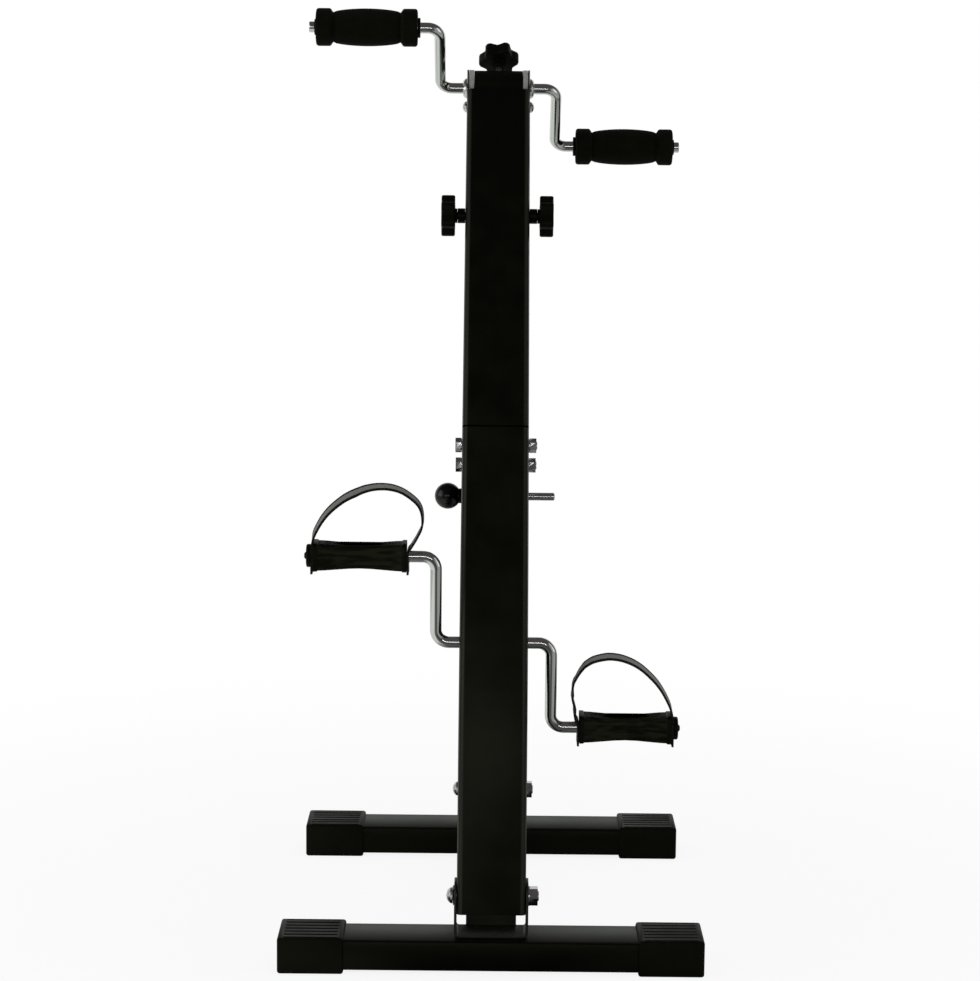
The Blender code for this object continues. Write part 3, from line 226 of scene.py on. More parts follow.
def new_black(name, base, roughness, specular):
    """A black material, with the warm tint in its gloss."""
    made, tree, shader = new_material(name, base, roughness, specular=specular)
    shader.inputs["Specular Tint"].default_value = (*BLACK_TINT, 1)
    return made, tree, shader


def coordinates(tree, stretch=(1, 1, 1)):
    """Object coordinates in metres, stretched along an axis."""
    source = tree.nodes.new("ShaderNodeTexCoord")
    mapping = tree.nodes.new("ShaderNodeMapping")
    mapping.inputs["Scale"].default_value = stretch
    tree.links.new(source.outputs["Object"], mapping.inputs["Vector"])
    return mapping.outputs["Vector"]


def axes(tree, where):
    """The X, Y and Z of a place."""
    split = tree.nodes.new("ShaderNodeSeparateXYZ")
    tree.links.new(where, split.inputs["Vector"])
    return split.outputs


def noise(tree, where, per_metre, detail=3.0, roughness=0.5):
    """A noise texture with a number of features per metre."""
    made = tree.nodes.new("ShaderNodeTexNoise")
    made.inputs["Scale"].default_value = per_metre
    made.inputs["Detail"].default_value = detail
    made.inputs["Roughness"].default_value = roughness
    tree.links.new(where, made.inputs["Vector"])
    return made.outputs["Fac"]


def cells(tree, where, per_metre):
    """Distance to the middle of cells, a number of them per metre."""
    made = tree.nodes.new("ShaderNodeTexVoronoi")
    made.inputs["Scale"].default_value = per_metre
    tree.links.new(where, made.inputs["Vector"])
    return made.outputs["Distance"]


def calculation(tree, operation, first, second):
    """A sum on a value and a number or another value."""
    made = tree.nodes.new("ShaderNodeMath")
    made.operation = operation
    tree.links.new(first, made.inputs[0])
    if isinstance(second, (int, float)):
        made.inputs[1].default_value = second
    else:
        tree.links.new(second, made.inputs[1])
    return made.outputs[0]


def spread(tree, value, low, high, start=0.0, end=1.0, smooth=False):
    """A value between start and end moved into the range from low to high."""
    made = tree.nodes.new("ShaderNodeMapRange")
    made.interpolation_type = "SMOOTHSTEP" if smooth else "LINEAR"
    made.inputs["From Min"].default_value = start
    made.inputs["From Max"].default_value = end
    made.inputs["To Min"].default_value = low
    made.inputs["To Max"].default_value = high
    tree.links.new(value, made.inputs["Value"])
    return made.outputs["Result"]


def colour_by(tree, shader, value, first, second):
    """The shader's colour goes from the first to the second over the middle of a value's range."""
    ramp = tree.nodes.new("ShaderNodeValToRGB")
    ramp.color_ramp.elements[0].color = (*first, 1)
    ramp.color_ramp.elements[1].color = (*second, 1)
    ramp.color_ramp.elements[0].position = 0.3
    ramp.color_ramp.elements[1].position = 0.7
    tree.links.new(value, ramp.inputs["Fac"])
    tree.links.new(ramp.outputs["Color"], shader.inputs["Base Color"])


def roughness_by(tree, shader, value, low, high):
    """The shader's roughness goes from low to high with a value."""
    tree.links.new(spread(tree, value, low, high), shader.inputs["Roughness"])


def bump(tree, shader, value, depth, strength=1.0, below=None):
    """A bump of a real depth in metres on the shader, on top of another if given."""
    made = tree.nodes.new("ShaderNodeBump")
    made.inputs["Distance"].default_value = depth
    made.inputs["Strength"].default_value = strength
    tree.links.new(value, made.inputs["Height"])
    if below:
        tree.links.new(below, made.inputs["Normal"])
    tree.links.new(made.outputs["Normal"], shader.inputs["Normal"])
    return made.outputs["Normal"]


def orange_peel(tree, shader, where):
    """The fine waves of sprayed paint."""
    return bump(tree, shader, noise(tree, where, PEEL_PER_METRE, detail=2), PEEL_DEPTH, strength=0.5)


def mixed(tree, share, first, second):
    """Two shaders: the first where the share is 0, and the second where it is 1."""
    made = tree.nodes.new("ShaderNodeMixShader")
    tree.links.new(share, made.inputs["Fac"])
    tree.links.new(first, made.inputs[1])
    tree.links.new(second, made.inputs[2])
    return made.outputs["Shader"]


# Materials

def powder_coat():
    """Black powder coat: fine orange peel, with slow changes in gloss."""
    made, tree, shader = new_black("powder_coat", (0.0012, 0.0013, 0.0007), 0.38, specular=0.12)
    where = coordinates(tree)
    slow = noise(tree, where, per_metre=14, detail=2)
    colour_by(tree, shader, slow, (0.0009, 0.0010, 0.0005), (0.0016, 0.0018, 0.0008))
    roughness_by(tree, shader, slow, low=0.34, high=0.46)
    orange_peel(tree, shader, where)
    return made


def lit_bracket_coat():
    """The feet's brackets: the same kind of paint, glossier, and greyer as painted light so that they read
    lit.
    """
    # Painted light: the paler base colour stands in for light on the brackets
    made, tree, shader = new_black("lit_bracket_coat", (0.0130, 0.0134, 0.0115), 0.38, specular=0.35)
    where = coordinates(tree)
    slow = noise(tree, where, per_metre=30, detail=2)
    colour_by(tree, shader, slow, (0.0110, 0.0114, 0.0097), (0.0150, 0.0155, 0.0134))
    roughness_by(tree, shader, slow, low=0.32, high=0.46)
    orange_peel(tree, shader, where)
    return made


def tube_coat():
    """Paint on the post and the mast: it rolls over at the corners, with a painted highlight there and painted
    shade higher up.
    """
    made, tree, shader = new_black("tube_coat", (0.0020, 0.0021, 0.0016), 0.38, specular=0.15)
    where = coordinates(tree)
    place = axes(tree, where)
    across = calculation(tree, "ABSOLUTE", place["X"], 0)
    past = calculation(tree, "MAXIMUM", calculation(tree, "SUBTRACT", across, TUBE_HALF - TUBE_ROLL), 0)
    drop = calculation(tree, "MULTIPLY", calculation(tree, "POWER", past, 2), -TUBE_ROLL_DROP / TUBE_ROLL)
    # Painted highlight: a paler band in the colour where the paint rolls over at each corner
    side = calculation(tree, "MULTIPLY", calculation(tree, "SUBTRACT", across, TUBE_HALF), -CORNER_HIGHLIGHT_END)
    painted_corner_highlight = calculation(tree, "MULTIPLY", calculation(tree, "MINIMUM", past, side), 1 / TUBE_ROLL)
    slow = noise(tree, where, per_metre=30, detail=2)
    clouds = calculation(tree, "MULTIPLY", slow, DUST_CLOUDS)
    # Painted shade: the colour is paler lower down and darker higher up the tubes
    dust_and_shade = spread(tree, place["Z"], *SHADE_LEVELS, *SHADE_HEIGHTS)
    pale = calculation(tree, "ADD", calculation(tree, "ADD", clouds, painted_corner_highlight), dust_and_shade)
    colour_by(tree, shader, pale, (0.0010, 0.0011, 0.0004), (0.0180, 0.0185, 0.0150))
    roughness_by(tree, shader, slow, low=0.30, high=0.42)
    bump(tree, shader, drop, depth=1.0, below=orange_peel(tree, shader, where))
    return made


def joint_shade():
    """Painted shade in the seam between the tubes: near black, with no gloss, on the faces at their cut ends.
    """
    made, tree, shader = new_material("joint_shade", (0.0006, 0.0006, 0.0005), 0.8, specular=0.0)
    cloud = noise(tree, coordinates(tree), per_metre=500, detail=2)
    colour_by(tree, shader, cloud, (0.0003, 0.0003, 0.0002), (0.0010, 0.0010, 0.0008))
    roughness_by(tree, shader, cloud, low=0.7, high=0.9)
    return made


def moulded_plastic():
    """Satin black plastic with a fine spark-eroded grain."""
    made, tree, shader = new_black("moulded_plastic", (0.0018, 0.0019, 0.0010), 0.45, specular=0.10)
    where = coordinates(tree)
    slow = noise(tree, where, per_metre=30)
    colour_by(tree, shader, slow, (0.0014, 0.0015, 0.0007), (0.0024, 0.0026, 0.0013))
    roughness_by(tree, shader, slow, low=0.40, high=0.56)
    bump(tree, shader, cells(tree, where, per_metre=1900), depth=0.00005, strength=0.6)
    return made


def polished_plastic():
    """Glossy black plastic with faint handling marks."""
    made, tree, shader = new_material("polished_plastic", (0.0020, 0.0020, 0.0019), 0.14, specular=0.35)
    marks = noise(tree, coordinates(tree), per_metre=160, detail=5, roughness=0.65)
    roughness_by(tree, shader, marks, low=0.08, high=0.26)
    bump(tree, shader, marks, depth=0.00002, strength=0.3)
    return made


def foam_rubber():
    """Matt black foam: open pores and a dusty sheen."""
    made, tree, shader = new_black("foam_rubber", (0.0026, 0.0028, 0.0014), 0.85, specular=0.08)
    where = coordinates(tree)
    slow = noise(tree, where, per_metre=60, detail=4, roughness=0.6)
    colour_by(tree, shader, slow, (0.0016, 0.0018, 0.0009), (0.0036, 0.0039, 0.0020))
    roughness_by(tree, shader, slow, low=0.78, high=0.95)
    shader.inputs["Sheen Weight"].default_value = 0.01
    shader.inputs["Sheen Roughness"].default_value = 0.5
    bump(tree, shader, cells(tree, where, per_metre=1300), depth=0.00016, strength=0.8)
    return made


def strap_rubber():
    """Grey strap rubber with fine lengthwise lines."""
    made, tree, shader = new_material("strap_rubber", (0.13, 0.13, 0.115), 0.55, specular=0.4)
    lines = noise(tree, coordinates(tree, stretch=(0.02, 1, 0.02)), per_metre=1100, detail=2)
    slow = noise(tree, coordinates(tree), per_metre=70, detail=4, roughness=0.6)
    colour_by(tree, shader, slow, (0.105, 0.106, 0.094), (0.155, 0.156, 0.140))
    roughness_by(tree, shader, slow, low=0.48, high=0.66)
    bump(tree, shader, lines, depth=0.00010, strength=0.6)
    return made


def strap_edge_shade():
    """Painted shade along the strap's rounded edges: near black, with no gloss."""
    made, tree, shader = new_material("strap_edge_shade", (0.012, 0.012, 0.010), 0.6, specular=0.0)
    worn = noise(tree, coordinates(tree), per_metre=400)
    colour_by(tree, shader, worn, (0.006, 0.006, 0.005), (0.016, 0.016, 0.014))
    roughness_by(tree, shader, worn, low=0.42, high=0.62)
    return made


def tread_rubber():
    """Matt black on the pedals' treads, streaked and finely ribbed along the pedal; the streaks' paler tone is
    painted highlight.
    """
    made, tree, shader = new_black("tread_rubber", (0.0055, 0.0057, 0.0031), 0.7, specular=0.10)
    ribs = noise(tree, coordinates(tree, stretch=(0.02, 1, 1)), per_metre=1400, detail=1)
    dust_and_shade = noise(tree, coordinates(tree), per_metre=120, detail=4, roughness=0.6)
    streaks = noise(tree, coordinates(tree, stretch=(0.14, 1, 1)), per_metre=260, detail=2)
    # Painted highlight: pale streaks in the colour, over the real waves of the bump
    pale_streak_highlights = spread(tree, streaks, low=-0.6, high=1.6)
    colour_by(tree, shader, pale_streak_highlights, (0.0022, 0.0023, 0.0012), (0.0095, 0.0099, 0.0050))
    roughness_by(tree, shader, dust_and_shade, low=0.60, high=0.80)
    waves = bump(tree, shader, streaks, depth=0.0012, strength=0.5)
    bump(tree, shader, ribs, depth=0.00015, strength=0.7, below=waves)
    return made


def chrome():
    """Bright chrome with a breath of haze."""
    made, tree, shader = new_material("chrome", (0.78, 0.79, 0.78), 0.06, metallic=1.0)
    haze = noise(tree, coordinates(tree), per_metre=90, detail=5, roughness=0.7)
    roughness_by(tree, shader, haze, low=0.03, high=0.13)
    bump(tree, shader, haze, depth=0.00002, strength=0.15)
    return made


def zinc_plate():
    """Zinc plate: clouded, brighter and duller by patches."""
    made, tree, shader = new_material("zinc_plate", (0.66, 0.67, 0.67), 0.2, metallic=1.0)
    where = coordinates(tree)
    cloud = noise(tree, where, per_metre=180)
    colour_by(tree, shader, cloud, (0.60, 0.61, 0.62), (0.72, 0.72, 0.71))
    roughness_by(tree, shader, cloud, low=0.14, high=0.26)
    bump(tree, shader, noise(tree, where, per_metre=900, detail=2), depth=0.000008, strength=0.4)
    return made


def white_nylon():
    """Natural nylon: milky, slightly mottled."""
    made, tree, shader = new_material("white_nylon", (0.27, 0.265, 0.26), 0.4)
    mottle = noise(tree, coordinates(tree), per_metre=220)
    colour_by(tree, shader, mottle, (0.23, 0.225, 0.22), (0.31, 0.305, 0.30))
    roughness_by(tree, shader, mottle, low=0.32, high=0.48)
    bump(tree, shader, mottle, depth=0.00004, strength=0.4)
    return made


FINISHES = {
    "black_paint": powder_coat(),
    "black_plastic": moulded_plastic(),
    "gloss_black": polished_plastic(),
    "foam": foam_rubber(),
    "rubber_strap": strap_rubber(),
    "chrome": chrome(),
    "zinc": zinc_plate(),
    "nylon": white_nylon(),
}
LIT_BRACKET_COAT = lit_bracket_coat()
TUBE_COAT = tube_coat()
JOINT_SHADE = joint_shade()
STRAP_EDGE_SHADE = strap_edge_shade()
TREAD_RUBBER = tread_rubber()


# Ways to make a piece

def piece(mesh, node, smooth=35, look=None):
    """A mesh that stands for a solid: it rides on the solid's body, with its finish or a look of its own."""
    made = bpy.data.objects.new(node + "_fine", mesh)
    bpy.context.scene.collection.objects.link(made)
    name = slot_of[node]
    mesh.materials.clear()
    mesh.materials.append(look or FINISHES[name])
    mesh.shade_smooth()
    mesh.set_sharp_from_angle(angle=math.radians(smooth))
    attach(made, nodes[node]["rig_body"])
    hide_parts(node)
    return made


def bevelled(made, width, segments=2, angle=60):
    """A small bevel on the edges that are sharper than an angle."""
    step = made.modifiers.new("eased", "BEVEL")
    step.width = width
    step.segments = segments
    step.limit_method = "ANGLE"
    step.angle_limit = math.radians(angle)
    return step


def welded_copy(node):
    """The solid's mesh with its facets joined into flat faces."""
    mesh = nodes[node].data.copy()
    mesh.name = node + "_fine"
    work = bmesh.new()
    work.from_mesh(mesh)
    bmesh.ops.remove_doubles(work, verts=work.verts, dist=WELD_REACH)
    bmesh.ops.dissolve_limit(work, angle_limit=FLAT_ANGLE, verts=work.verts, edges=work.edges)
    bmesh.ops.recalc_face_normals(work, faces=work.faces)
    work.to_mesh(mesh)
    work.free()
    return mesh


def eased(node, width, segments=2, angle=38, smooth=35, look=None):
    """The solid with its sharp edges eased."""
    made = piece(welded_copy(node), node, smooth, look)
    bevelled(made, width, segments, angle).harden_normals = True
    return made


def ease_all():
    """Eases the edges of every solid that no finer piece replaces."""
    for node in sorted(nodes):
        if node + "_fine" not in bpy.data.objects:
            eased(node, EASED_WIDTHS.get(slot_of[node], EASED_WIDTH))


def bridge(work, first, second):
    """Faces between two rings of vertices."""
    count = len(first)
    for i in range(count):
        j = (i + 1) % count
        work.faces.new((first[i], first[j], second[j], second[i]))


def finished(work, name):
    """A mesh of the faces made so far, with all of them facing outwards."""
    bmesh.ops.recalc_face_normals(work, faces=work.faces)
    mesh = bpy.data.meshes.new(name)
    work.to_mesh(mesh)
    work.free()
    return mesh


def lathe(profile, origin, axis):
    """A closed profile of (radius, distance along the axis) turned about an axis through the origin."""
    work = bmesh.new()
    turn = Vector((0, 0, 1)).rotation_difference(Vector(axis)).to_matrix()
    rings = []
    for radius, along in profile:
        ring = []
        for i in range(ROUND_STEPS):
            angle = 2 * math.pi * i / ROUND_STEPS
            local = Vector((radius * math.cos(angle), radius * math.sin(angle), along))
            ring.append(work.verts.new(Vector(origin) + turn @ local))
        rings.append(ring)
    for first, second in zip(rings, rings[1:] + rings[:1]):
        bridge(work, first, second)
    bmesh.ops.remove_doubles(work, verts=work.verts, dist=TINY / 2)
    return finished(work, "lathe")


def rod_along(points):
    """A round rod along points, with flat ends."""
    work = bmesh.new()
    rings = []
    before = None
    normal = Vector((0, 1, 0))
    for i, point in enumerate(points):
        ahead = points[min(i + 1, len(points) - 1)] - points[max(i - 1, 0)]
        tangent = ahead.normalized()
        if before:
            normal = before.rotation_difference(tangent).to_matrix() @ normal
        normal = (normal - tangent * normal.dot(tangent)).normalized()
        side = tangent.cross(normal)
        before = tangent
        ring = []
        for j in range(ROD_STEPS):
            angle = 2 * math.pi * j / ROD_STEPS
            out = math.cos(angle) * normal + math.sin(angle) * side
            ring.append(work.verts.new(point + ROD_RADIUS * out))
        rings.append(ring)
    for first, second in zip(rings, rings[1:]):
        bridge(work, first, second)
    work.faces.new(rings[0])
    work.faces.new(rings[-1])
    return finished(work, "rod")


def bent_path(corners):
    """The corners of a bent rod, with an arc of the rod's bend at each inner one."""
    points = [Vector(corners[0])]
    for before, here, after in zip(corners, corners[1:], corners[2:]):
        here = Vector(here)
        back = (Vector(before) - here).normalized()
        ahead = (Vector(after) - here).normalized()
        half = back.angle(ahead) / 2
        centre = here + (back + ahead).normalized() * ROD_BEND / math.sin(half)
        start = here + back * ROD_BEND / math.tan(half) - centre
        end = here + ahead * ROD_BEND / math.tan(half) - centre
        for i in range(BEND_STEPS + 1):
            points.append(centre + start.slerp(end, i / BEND_STEPS).normalized() * ROD_BEND)
    return points + [Vector(corners[-1])]


def quarter(radius, along, soft, start, end, steps=5):
    """Points of a small round corner about (radius, along), angles in degrees from the outward radius."""
    turns = [math.radians(start + (end - start) * i / steps) for i in range(steps + 1)]
    return [(radius + soft * math.cos(turn), along + soft * math.sin(turn)) for turn in turns]


def cut(work, place, normal):
    """Splits the faces along a plane and keeps both sides."""
    everything = work.verts[:] + work.edges[:] + work.faces[:]
    bmesh.ops.bisect_plane(work, geom=everything, plane_co=place, plane_no=normal, dist=TINY)


# Pieces

def crank_rods():
    """Both bent rods, round and smooth."""
    for crank, ends in (("hand_crank", "grip"), ("pedal_crank", "pedal")):
        axis = Vector(joints[crank + "_spin"]["pos_m"])
        left = Vector(joints["left_" + ends + "_spin"]["pos_m"])
        right = Vector(joints["right_" + ends + "_spin"]["pos_m"])
        low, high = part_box(crank)
        end = (high.x - low.x) / 2
        arm = ARM_PLANES[crank]
        corners = [(-end, left.y, left.z), (-arm, left.y, left.z), (-arm, axis.y, axis.z),
                   (arm, axis.y, axis.z), (arm, right.y, right.z), (end, right.y, right.z)]
        bevelled(piece(rod_along(bent_path(corners)), crank), width=0.0007)


def grips():
    """Foam grips: soft-edged flanges and a crowned barrel."""
    for side_name, side in SIDES:
        node = "grip_" + side_name
        low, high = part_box(node)
        inner = min(abs(low.x), abs(high.x))
        length = high.x - low.x
        outer = (high.z - low.z) / 2
        axis = Vector(joints[side_name + "_grip_spin"]["pos_m"])
        edge = outer - GRIP_ROUND
        neck = GRIP_FLANGE_LENGTH + GRIP_NECK_STEP
        flange = [(GRIP_BORE, 0)] + quarter(edge, GRIP_ROUND, GRIP_ROUND, -90, 0)
        flange += quarter(edge, GRIP_FLANGE_LENGTH - GRIP_ROUND, GRIP_ROUND, 0, GRIP_FLANGE_TURN)
        flange.append((GRIP_NECK_RADIUS, neck))
        crown = []
        for i in range(1, GRIP_CROWN_STEPS):
            swell = math.sin(math.pi * i / GRIP_CROWN_STEPS) ** GRIP_CROWN_FULLNESS
            radius = GRIP_NECK_RADIUS + (outer - GRIP_CROWN_GAP - GRIP_NECK_RADIUS) * swell
            crown.append((radius, neck + (length - 2 * neck) * i / GRIP_CROWN_STEPS))
        profile = flange + crown + [(radius, length - along) for radius, along in reversed(flange)]
        made = piece(lathe(profile, (side * inner, axis.y, axis.z), (side, 0, 0)), node, smooth=60)


def ball_knob():
    """The lock's ball: a moulded ball with a collar and a fine parting line."""
    low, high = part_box("lock_ball")
    radius = (high.z - low.z) / 2
    centre = low.x + radius
    face = high.x - centre
    bottom = face - BALL_BORE_DEPTH
    seat = math.asin(BALL_COLLAR_RADIUS / radius)
    turns = [math.pi - (math.pi - seat) * i / BALL_STEPS for i in range(BALL_STEPS + 1)]
    profile = [(max(radius * math.sin(turn), ON_AXIS), radius * math.cos(turn)) for turn in turns]
    seam = BALL_STEPS // 2
    profile[seam] = (profile[seam][0] - BALL_SEAM_DEPTH, profile[seam][1])
    profile += [(BALL_COLLAR_RADIUS, face - BALL_COLLAR_EDGE), (BALL_COLLAR_RADIUS - BALL_COLLAR_EDGE, face)]
    profile += [(BALL_BORE_RADIUS, face), (BALL_BORE_RADIUS, bottom), (ON_AXIS, bottom)]
    place = middle("lock_ball")
    piece(lathe(profile, (centre, place.y, place.z), (1, 0, 0)), "lock_ball", smooth=50)


def strap_line(end):
    """The strap's middle line over the foot, as (x outwards, z) from the pedal's middle."""
    low, shoulder = STRAP_ROOT - STRAP_BELOW, STRAP_SHOULDER * STRAP_RISE
    knots = [(-end, low), (-end, shoulder)]
    knots += [(-end + 2 * end * x, STRAP_RISE * z) for x, z in STRAP_INNER + STRAP_OUTER]
    knots += [(end, shoulder), (end, low)]
    places = [Vector(knot) for knot in knots]
    line = []
    for i in range(1, len(places) - 2):
        before, start, finish, after = places[i - 1:i + 3]
        for j in range(STRAP_LINE_STEPS):
            t = j / STRAP_LINE_STEPS
            square = (2 * before - 5 * start + 4 * finish - after) * t ** 2
            cube = (3 * start - before - 3 * finish + after) * t ** 3
            line.append(0.5 * (2 * start + (finish - before) * t + square + cube))
    return line + [places[-2]]


def onto_line(place, line):
    """The place moved to half a strap's thickness from the line, on the side where it is."""
    best = None
    for first, second in zip(line, line[1:]):
        run = second - first
        share = min(1.0, max(0.0, (place - first).dot(run) / run.length_squared))
        near = first + run * share
        if best is None or (place - near).length < best[0]:
            best = ((place - near).length, near, run)
    near, run = best[1:]
    normal = Vector((-run.y, run.x)).normalized()
    side = 1 if (place - near).dot(normal) > 0 else -1
    return near + normal * side * STRAP_THICK / 2


def pulled(table, at):
    """The front and back edges' pull at an angle, in metres."""
    for first, second in zip(table, table[1:]):
        if at <= second[0]:
            share = max(0.0, (at - first[0]) / (second[0] - first[0]))
            return [MILLIMETRE * (a + (b - a) * share) for a, b in zip(first[1:], second[1:])]
    return [MILLIMETRE * value for value in table[-1][1:]]


def shape_strap(mesh, node, side_name, side):
    """Rounds the strap's facets onto its line, and gives it the slack and twist of a strap in use."""
    low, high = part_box(node)
    pedal_low, pedal_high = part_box("pedal_" + side_name)
    axis = Vector(joints[side_name + "_pedal_spin"]["pos_m"])
    centre = (pedal_low.x + pedal_high.x) / 2
    line = strap_line((pedal_high.x - pedal_low.x) / 2 + SEAT_GAP + STRAP_THICK / 2)
    work = bmesh.new()
    work.from_mesh(mesh)
    cut(work, (0, low.y + STRAP_FRONT_SHADE, 0), (0, 1, 0))
    cut(work, (0, high.y - STRAP_BACK_SHADE, 0), (0, -1, 0))
    along = [edge for edge in work.edges if abs(edge.verts[0].co.y - edge.verts[1].co.y) < TINY
             and min(vert.co.z for vert in edge.verts) > axis.z + STRAP_ROOT - STRAP_ROOT_REACH]
    bmesh.ops.subdivide_edges(work, edges=along, cuts=2, use_grid_fill=True)
    for vert in work.verts:
        local = Vector((side * (vert.co.x - centre), vert.co.z - axis.z))
        if local.y < STRAP_ROOT + STRAP_ROOT_REACH:
            continue
        local = onto_line(local, line)
        fade = min(1.0, max(0.0, (local.y - PULL_FADE[0]) / (PULL_FADE[1] - PULL_FADE[0])))
        fade = fade * fade * (3 - 2 * fade)
        away = Vector((side * local.x, local.y - PULL_CENTRE))
        turn = math.degrees(math.atan2(away.y, away.x))
        front, back = pulled(STRAP_PULL[side_name], turn + 360 if turn < -90 else turn)
        share = (vert.co.y - low.y) / (high.y - low.y)
        away = away.normalized() * (front + (back - front) * share) * fade
        vert.co.x = centre + side * local.x + away.x
        vert.co.z = axis.z + local.y + away.y
    bmesh.ops.recalc_face_normals(work, faces=work.faces)
    work.to_mesh(mesh)
    work.free()


def straps():
    """The straps, with painted shade along their edges."""
    for side_name, side in SIDES:
        node = "strap_" + side_name
        low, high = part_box(node)
        mesh = welded_copy(node)
        shape_strap(mesh, node, side_name, side)
        made = piece(mesh, node, smooth=50)
        mesh.materials.append(STRAP_EDGE_SHADE)
        # Painted shade: the faces near the front and back edges take the dark edge material
        for face in mesh.polygons:
            edge = face.center.y < low.y + STRAP_FRONT_SHADE or face.center.y > high.y - STRAP_BACK_SHADE
            face.material_index = 1 if edge else 0
        bevelled(made, width=0.0004)


def pedals():
    """The pedals, with matt treads between smoother ends."""
    for node in ("pedal_left", "pedal_right"):
        low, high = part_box(node)
        mesh = eased(node, width=0.0004, angle=50, smooth=40).data
        mesh.materials.append(TREAD_RUBBER)
        for face in mesh.polygons:
            from_end = min(face.center.x - low.x, high.x - face.center.x)
            tread = abs(face.normal.x) < PEDAL_END_FACING and from_end > PEDAL_END
            face.material_index = 1 if tread else 0


def knobs_and_brackets():
    """The star knobs with rounder edges, and the feet's brackets with their glossier paint, greyer as painted
    light.
    """
    for node in ("hand_tension_knob", "pedal_tension_knob", "clamp_knob_left", "clamp_knob_right"):
        eased(node, width=0.0008, segments=3, angle=30, smooth=40)
    for node in ("front_bracket", "rear_bracket"):
        eased(node, width=0.0005, look=LIT_BRACKET_COAT)


def tubes():
    """The post and the mast, with painted shade on the ends that nearly touch."""
    post_end = max(vert.co.dot(MAST_AXIS) for vert in nodes["lower_post"].data.vertices)
    mast_end = post_end + SEAM_GAP
    for node, shade in (("lower_post", post_end - SEAM_SHADE), ("mast_tube", mast_end + SEAM_SHADE)):
        mesh = eased(node, width=0.0002, look=TUBE_COAT).data
        mesh.materials.append(JOINT_SHADE)
        work = bmesh.new()
        work.from_mesh(mesh)
        cut(work, MAST_AXIS * shade, MAST_AXIS)
        # Painted shade: the faces next to the seam take the black without gloss
        for face in work.faces:
            above = face.calc_center_median().dot(MAST_AXIS) - post_end
            face.material_index = 1 if -SEAM_SHADE < above < SEAM_GAP + SEAM_SHADE else 0
        for vert in work.verts:
            above = vert.co.dot(MAST_AXIS) - post_end
            if -SEAM_SHADE / 2 < above < SEAM_GAP + SEAM_SHADE / 2:
                vert.co += MAST_AXIS * math.copysign(SEAM_CLOSE, SEAM_GAP / 2 - above)
        work.to_mesh(mesh)
        work.free()


# Stage

def stage():
    """Pale floor, soft lights and the white surround."""
    floor_mesh = bpy.data.meshes.new("floor")
    reach = FLOOR_REACH
    corners = [(-reach, -reach, 0), (reach, -reach, 0), (reach, reach, 0), (-reach, reach, 0)]
    floor_mesh.from_pydata(corners, [], [(0, 1, 2, 3)])
    floor = bpy.data.objects.new("floor", floor_mesh)
    bpy.context.scene.collection.objects.link(floor)
    floor.data.materials.append(floor_material())
    surround()
    area_light("key", place=(-3.0, -0.9, 1.5), width=2.4, height=2.4, power=22)
    area_light("fill", place=(2.6, -1.0, 1.2), width=1.1, height=2.2, power=5)
    area_light("strip", place=(0.0, -3.6, 0.98), width=3.0, height=0.22, power=9)
    area_light("top", place=(0.3, 0.6, 3.2), width=1.8, height=1.8, power=14).visible_glossy = False


def round_colour(tree, where, table):
    """A colour by the angle round the object, from a table of (degrees rightwards from the front, level)."""
    place = axes(tree, where)
    forward = calculation(tree, "MULTIPLY", place["Y"], -1)
    turn = calculation(tree, "ARCTAN2", place["X"], forward)
    walls = tree.nodes.new("ShaderNodeValToRGB")
    ramp = walls.color_ramp
    for degrees, level in table:
        ends = {-180: ramp.elements[0], 180: ramp.elements[-1]}
        element = ends[degrees] if degrees in ends else ramp.elements.new(degrees / 360 + 0.5)
        element.color = (*[level * tint for tint in MIRRORED_TINT], 1)
    tree.links.new(spread(tree, turn, 0, 1, -math.pi, math.pi), walls.inputs["Fac"])
    return walls.outputs["Color"]


def mirrored_floor(tree, where, distance):
    """The floor that reflections see: with painted shade under the object, and gone past its edge."""
    shaded = tree.nodes.new("ShaderNodeVectorMath")
    shaded.operation = "SCALE"
    tree.links.new(round_colour(tree, where, FLOOR_ROUND), shaded.inputs[0])
    # Painted shade: darker under the object
    tree.links.new(spread(tree, distance, FLOOR_UNDER, 1, *FLOOR_UNDER_REACH), shaded.inputs["Scale"])
    near = tree.nodes.new("ShaderNodeBsdfDiffuse")
    tree.links.new(shaded.outputs["Vector"], near.inputs["Color"])
    gone = tree.nodes.new("ShaderNodeBsdfTransparent")
    edge = spread(tree, distance, 0, 1, FLOOR_EDGE_START, FLOOR_EDGE)
    return mixed(tree, edge, near.outputs["BSDF"], gone.outputs["BSDF"])


def floor_material():
    """Matt white, and seen by the camera as plain white away from the object's shadow."""
    made, tree, shader = new_material("floor", (0.90, 0.90, 0.90), 0.8, specular=0.2)
    where = coordinates(tree)
    speck = noise(tree, where, per_metre=220)
    colour_by(tree, shader, speck, (0.89, 0.89, 0.89), (0.91, 0.91, 0.91))
    length = tree.nodes.new("ShaderNodeVectorMath")
    length.operation = "LENGTH"
    tree.links.new(where, length.inputs[0])
    distance = length.outputs["Value"]
    path = tree.nodes.new("ShaderNodeLightPath").outputs
    floor = mixed(tree, path["Is Glossy Ray"], shader.outputs["BSDF"], mirrored_floor(tree, where, distance))
    away = spread(tree, distance, SHADOW_HIDDEN, 1, SHADOW_NEAR, SHADOW_FAR, smooth=True)
    plain = calculation(tree, "MULTIPLY", path["Is Camera Ray"], away)
    white = tree.nodes.new("ShaderNodeEmission")
    seen = mixed(tree, plain, floor, white.outputs["Emission"])
    tree.links.new(seen, tree.nodes["Material Output"].inputs["Surface"])
    return made


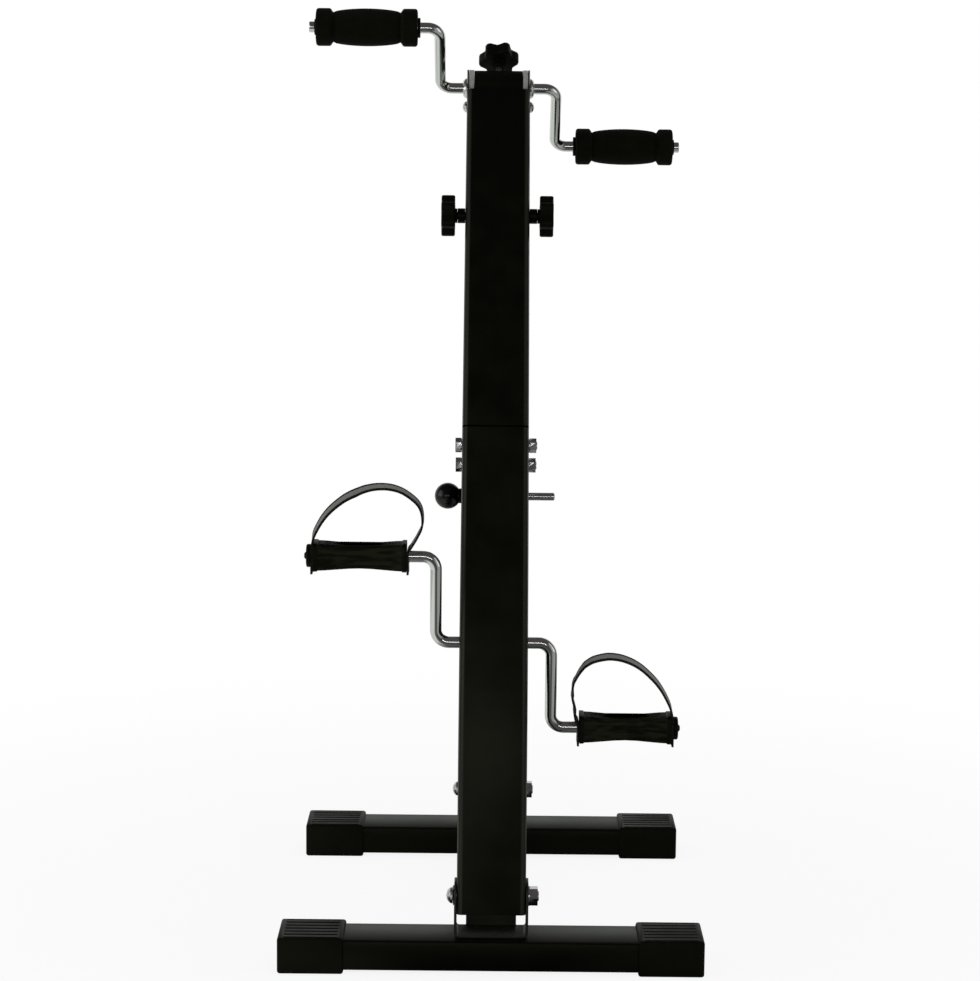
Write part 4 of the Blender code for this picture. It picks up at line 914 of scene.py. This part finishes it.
def mirrored_colour(tree):
    """What reflections see: brighter and darker walls round the object, and a dark ceiling."""
    direction = tree.nodes.new("ShaderNodeTexCoord").outputs["Generated"]
    place = axes(tree, direction)
    behind = calculation(tree, "MAXIMUM", place["Y"], 0)
    lower = calculation(tree, "MULTIPLY", behind, MIRRORED_BEHIND)
    height = calculation(tree, "SUBTRACT", place["Z"], lower)
    rise = spread(tree, height, 0, 1, *MIRRORED_RISE, smooth=True)
    scaled = tree.nodes.new("ShaderNodeMix")
    scaled.data_type = "RGBA"
    share, walls, ceiling = scaled.inputs[0], scaled.inputs[6], scaled.inputs[7]
    ceiling.default_value = (*MIRRORED_TOP, 1)
    tree.links.new(rise, share)
    tree.links.new(round_colour(tree, direction, MIRRORED_ROUND), walls)
    return scaled.outputs[2]


def surround():
    """A white world for the camera, a softer one as light, and in reflections walls and a dark ceiling."""
    world = bpy.data.worlds.new("surround")
    world.use_nodes = True
    bpy.context.scene.world = world
    tree = world.node_tree
    light = tree.nodes["Background"]
    light.inputs["Color"].default_value = (1, 1, 1, 1)
    light.inputs["Strength"].default_value = WORLD_LIGHT
    white = tree.nodes.new("ShaderNodeBackground")
    white.inputs["Color"].default_value = (1, 1, 1, 1)
    mirrored = tree.nodes.new("ShaderNodeBackground")
    tree.links.new(mirrored_colour(tree), mirrored.inputs["Color"])
    path = tree.nodes.new("ShaderNodeLightPath").outputs
    unseen = mixed(tree, path["Is Glossy Ray"], light.outputs["Background"], mirrored.outputs["Background"])
    seen = mixed(tree, path["Is Camera Ray"], unseen, white.outputs["Background"])
    tree.links.new(seen, tree.nodes["World Output"].inputs["Surface"])


def area_light(name, place, width, height, power):
    """A soft light aimed at the middle of the object."""
    data = bpy.data.lights.new(name, "AREA")
    data.shape = "RECTANGLE"
    data.size = width
    data.size_y = height
    data.energy = power
    lamp = bpy.data.objects.new(name, data)
    lamp.location = place
    lamp.rotation_euler = (LIGHTS_AIM - Vector(place)).to_track_quat("-Z", "Y").to_euler()
    bpy.context.scene.collection.objects.link(lamp)
    return lamp


def camera():
    """The photograph's camera."""
    data = bpy.data.cameras.new("camera")
    data.sensor_fit = "HORIZONTAL"
    data.sensor_width = SENSOR_WIDTH_MM
    data.lens = CAMERA_FOCAL_PX / IMAGE_WIDTH_PX * SENSOR_WIDTH_MM
    made = bpy.data.objects.new("camera", data)
    base = (middle("front_bar").y + middle("rear_bar").y) / 2
    place = Matrix.Translation((CAMERA_SIDE, base - CAMERA_BACK, CAMERA_HEIGHT))
    tilt = Matrix.Rotation(math.pi / 2 - CAMERA_PITCH, 4, "X")
    made.matrix_world = place @ tilt @ Matrix.Rotation(CAMERA_ROLL, 4, "Z")
    bpy.context.scene.collection.objects.link(made)
    bpy.context.scene.camera = made


def view_settings():
    """Colours as they are, with nothing added by the view."""
    bpy.context.scene.view_settings.view_transform = "Standard"


camera()
crank_rods()
grips()
ball_knob()
straps()
pedals()
knobs_and_brackets()
tubes()
ease_all()
stage()
view_settings()
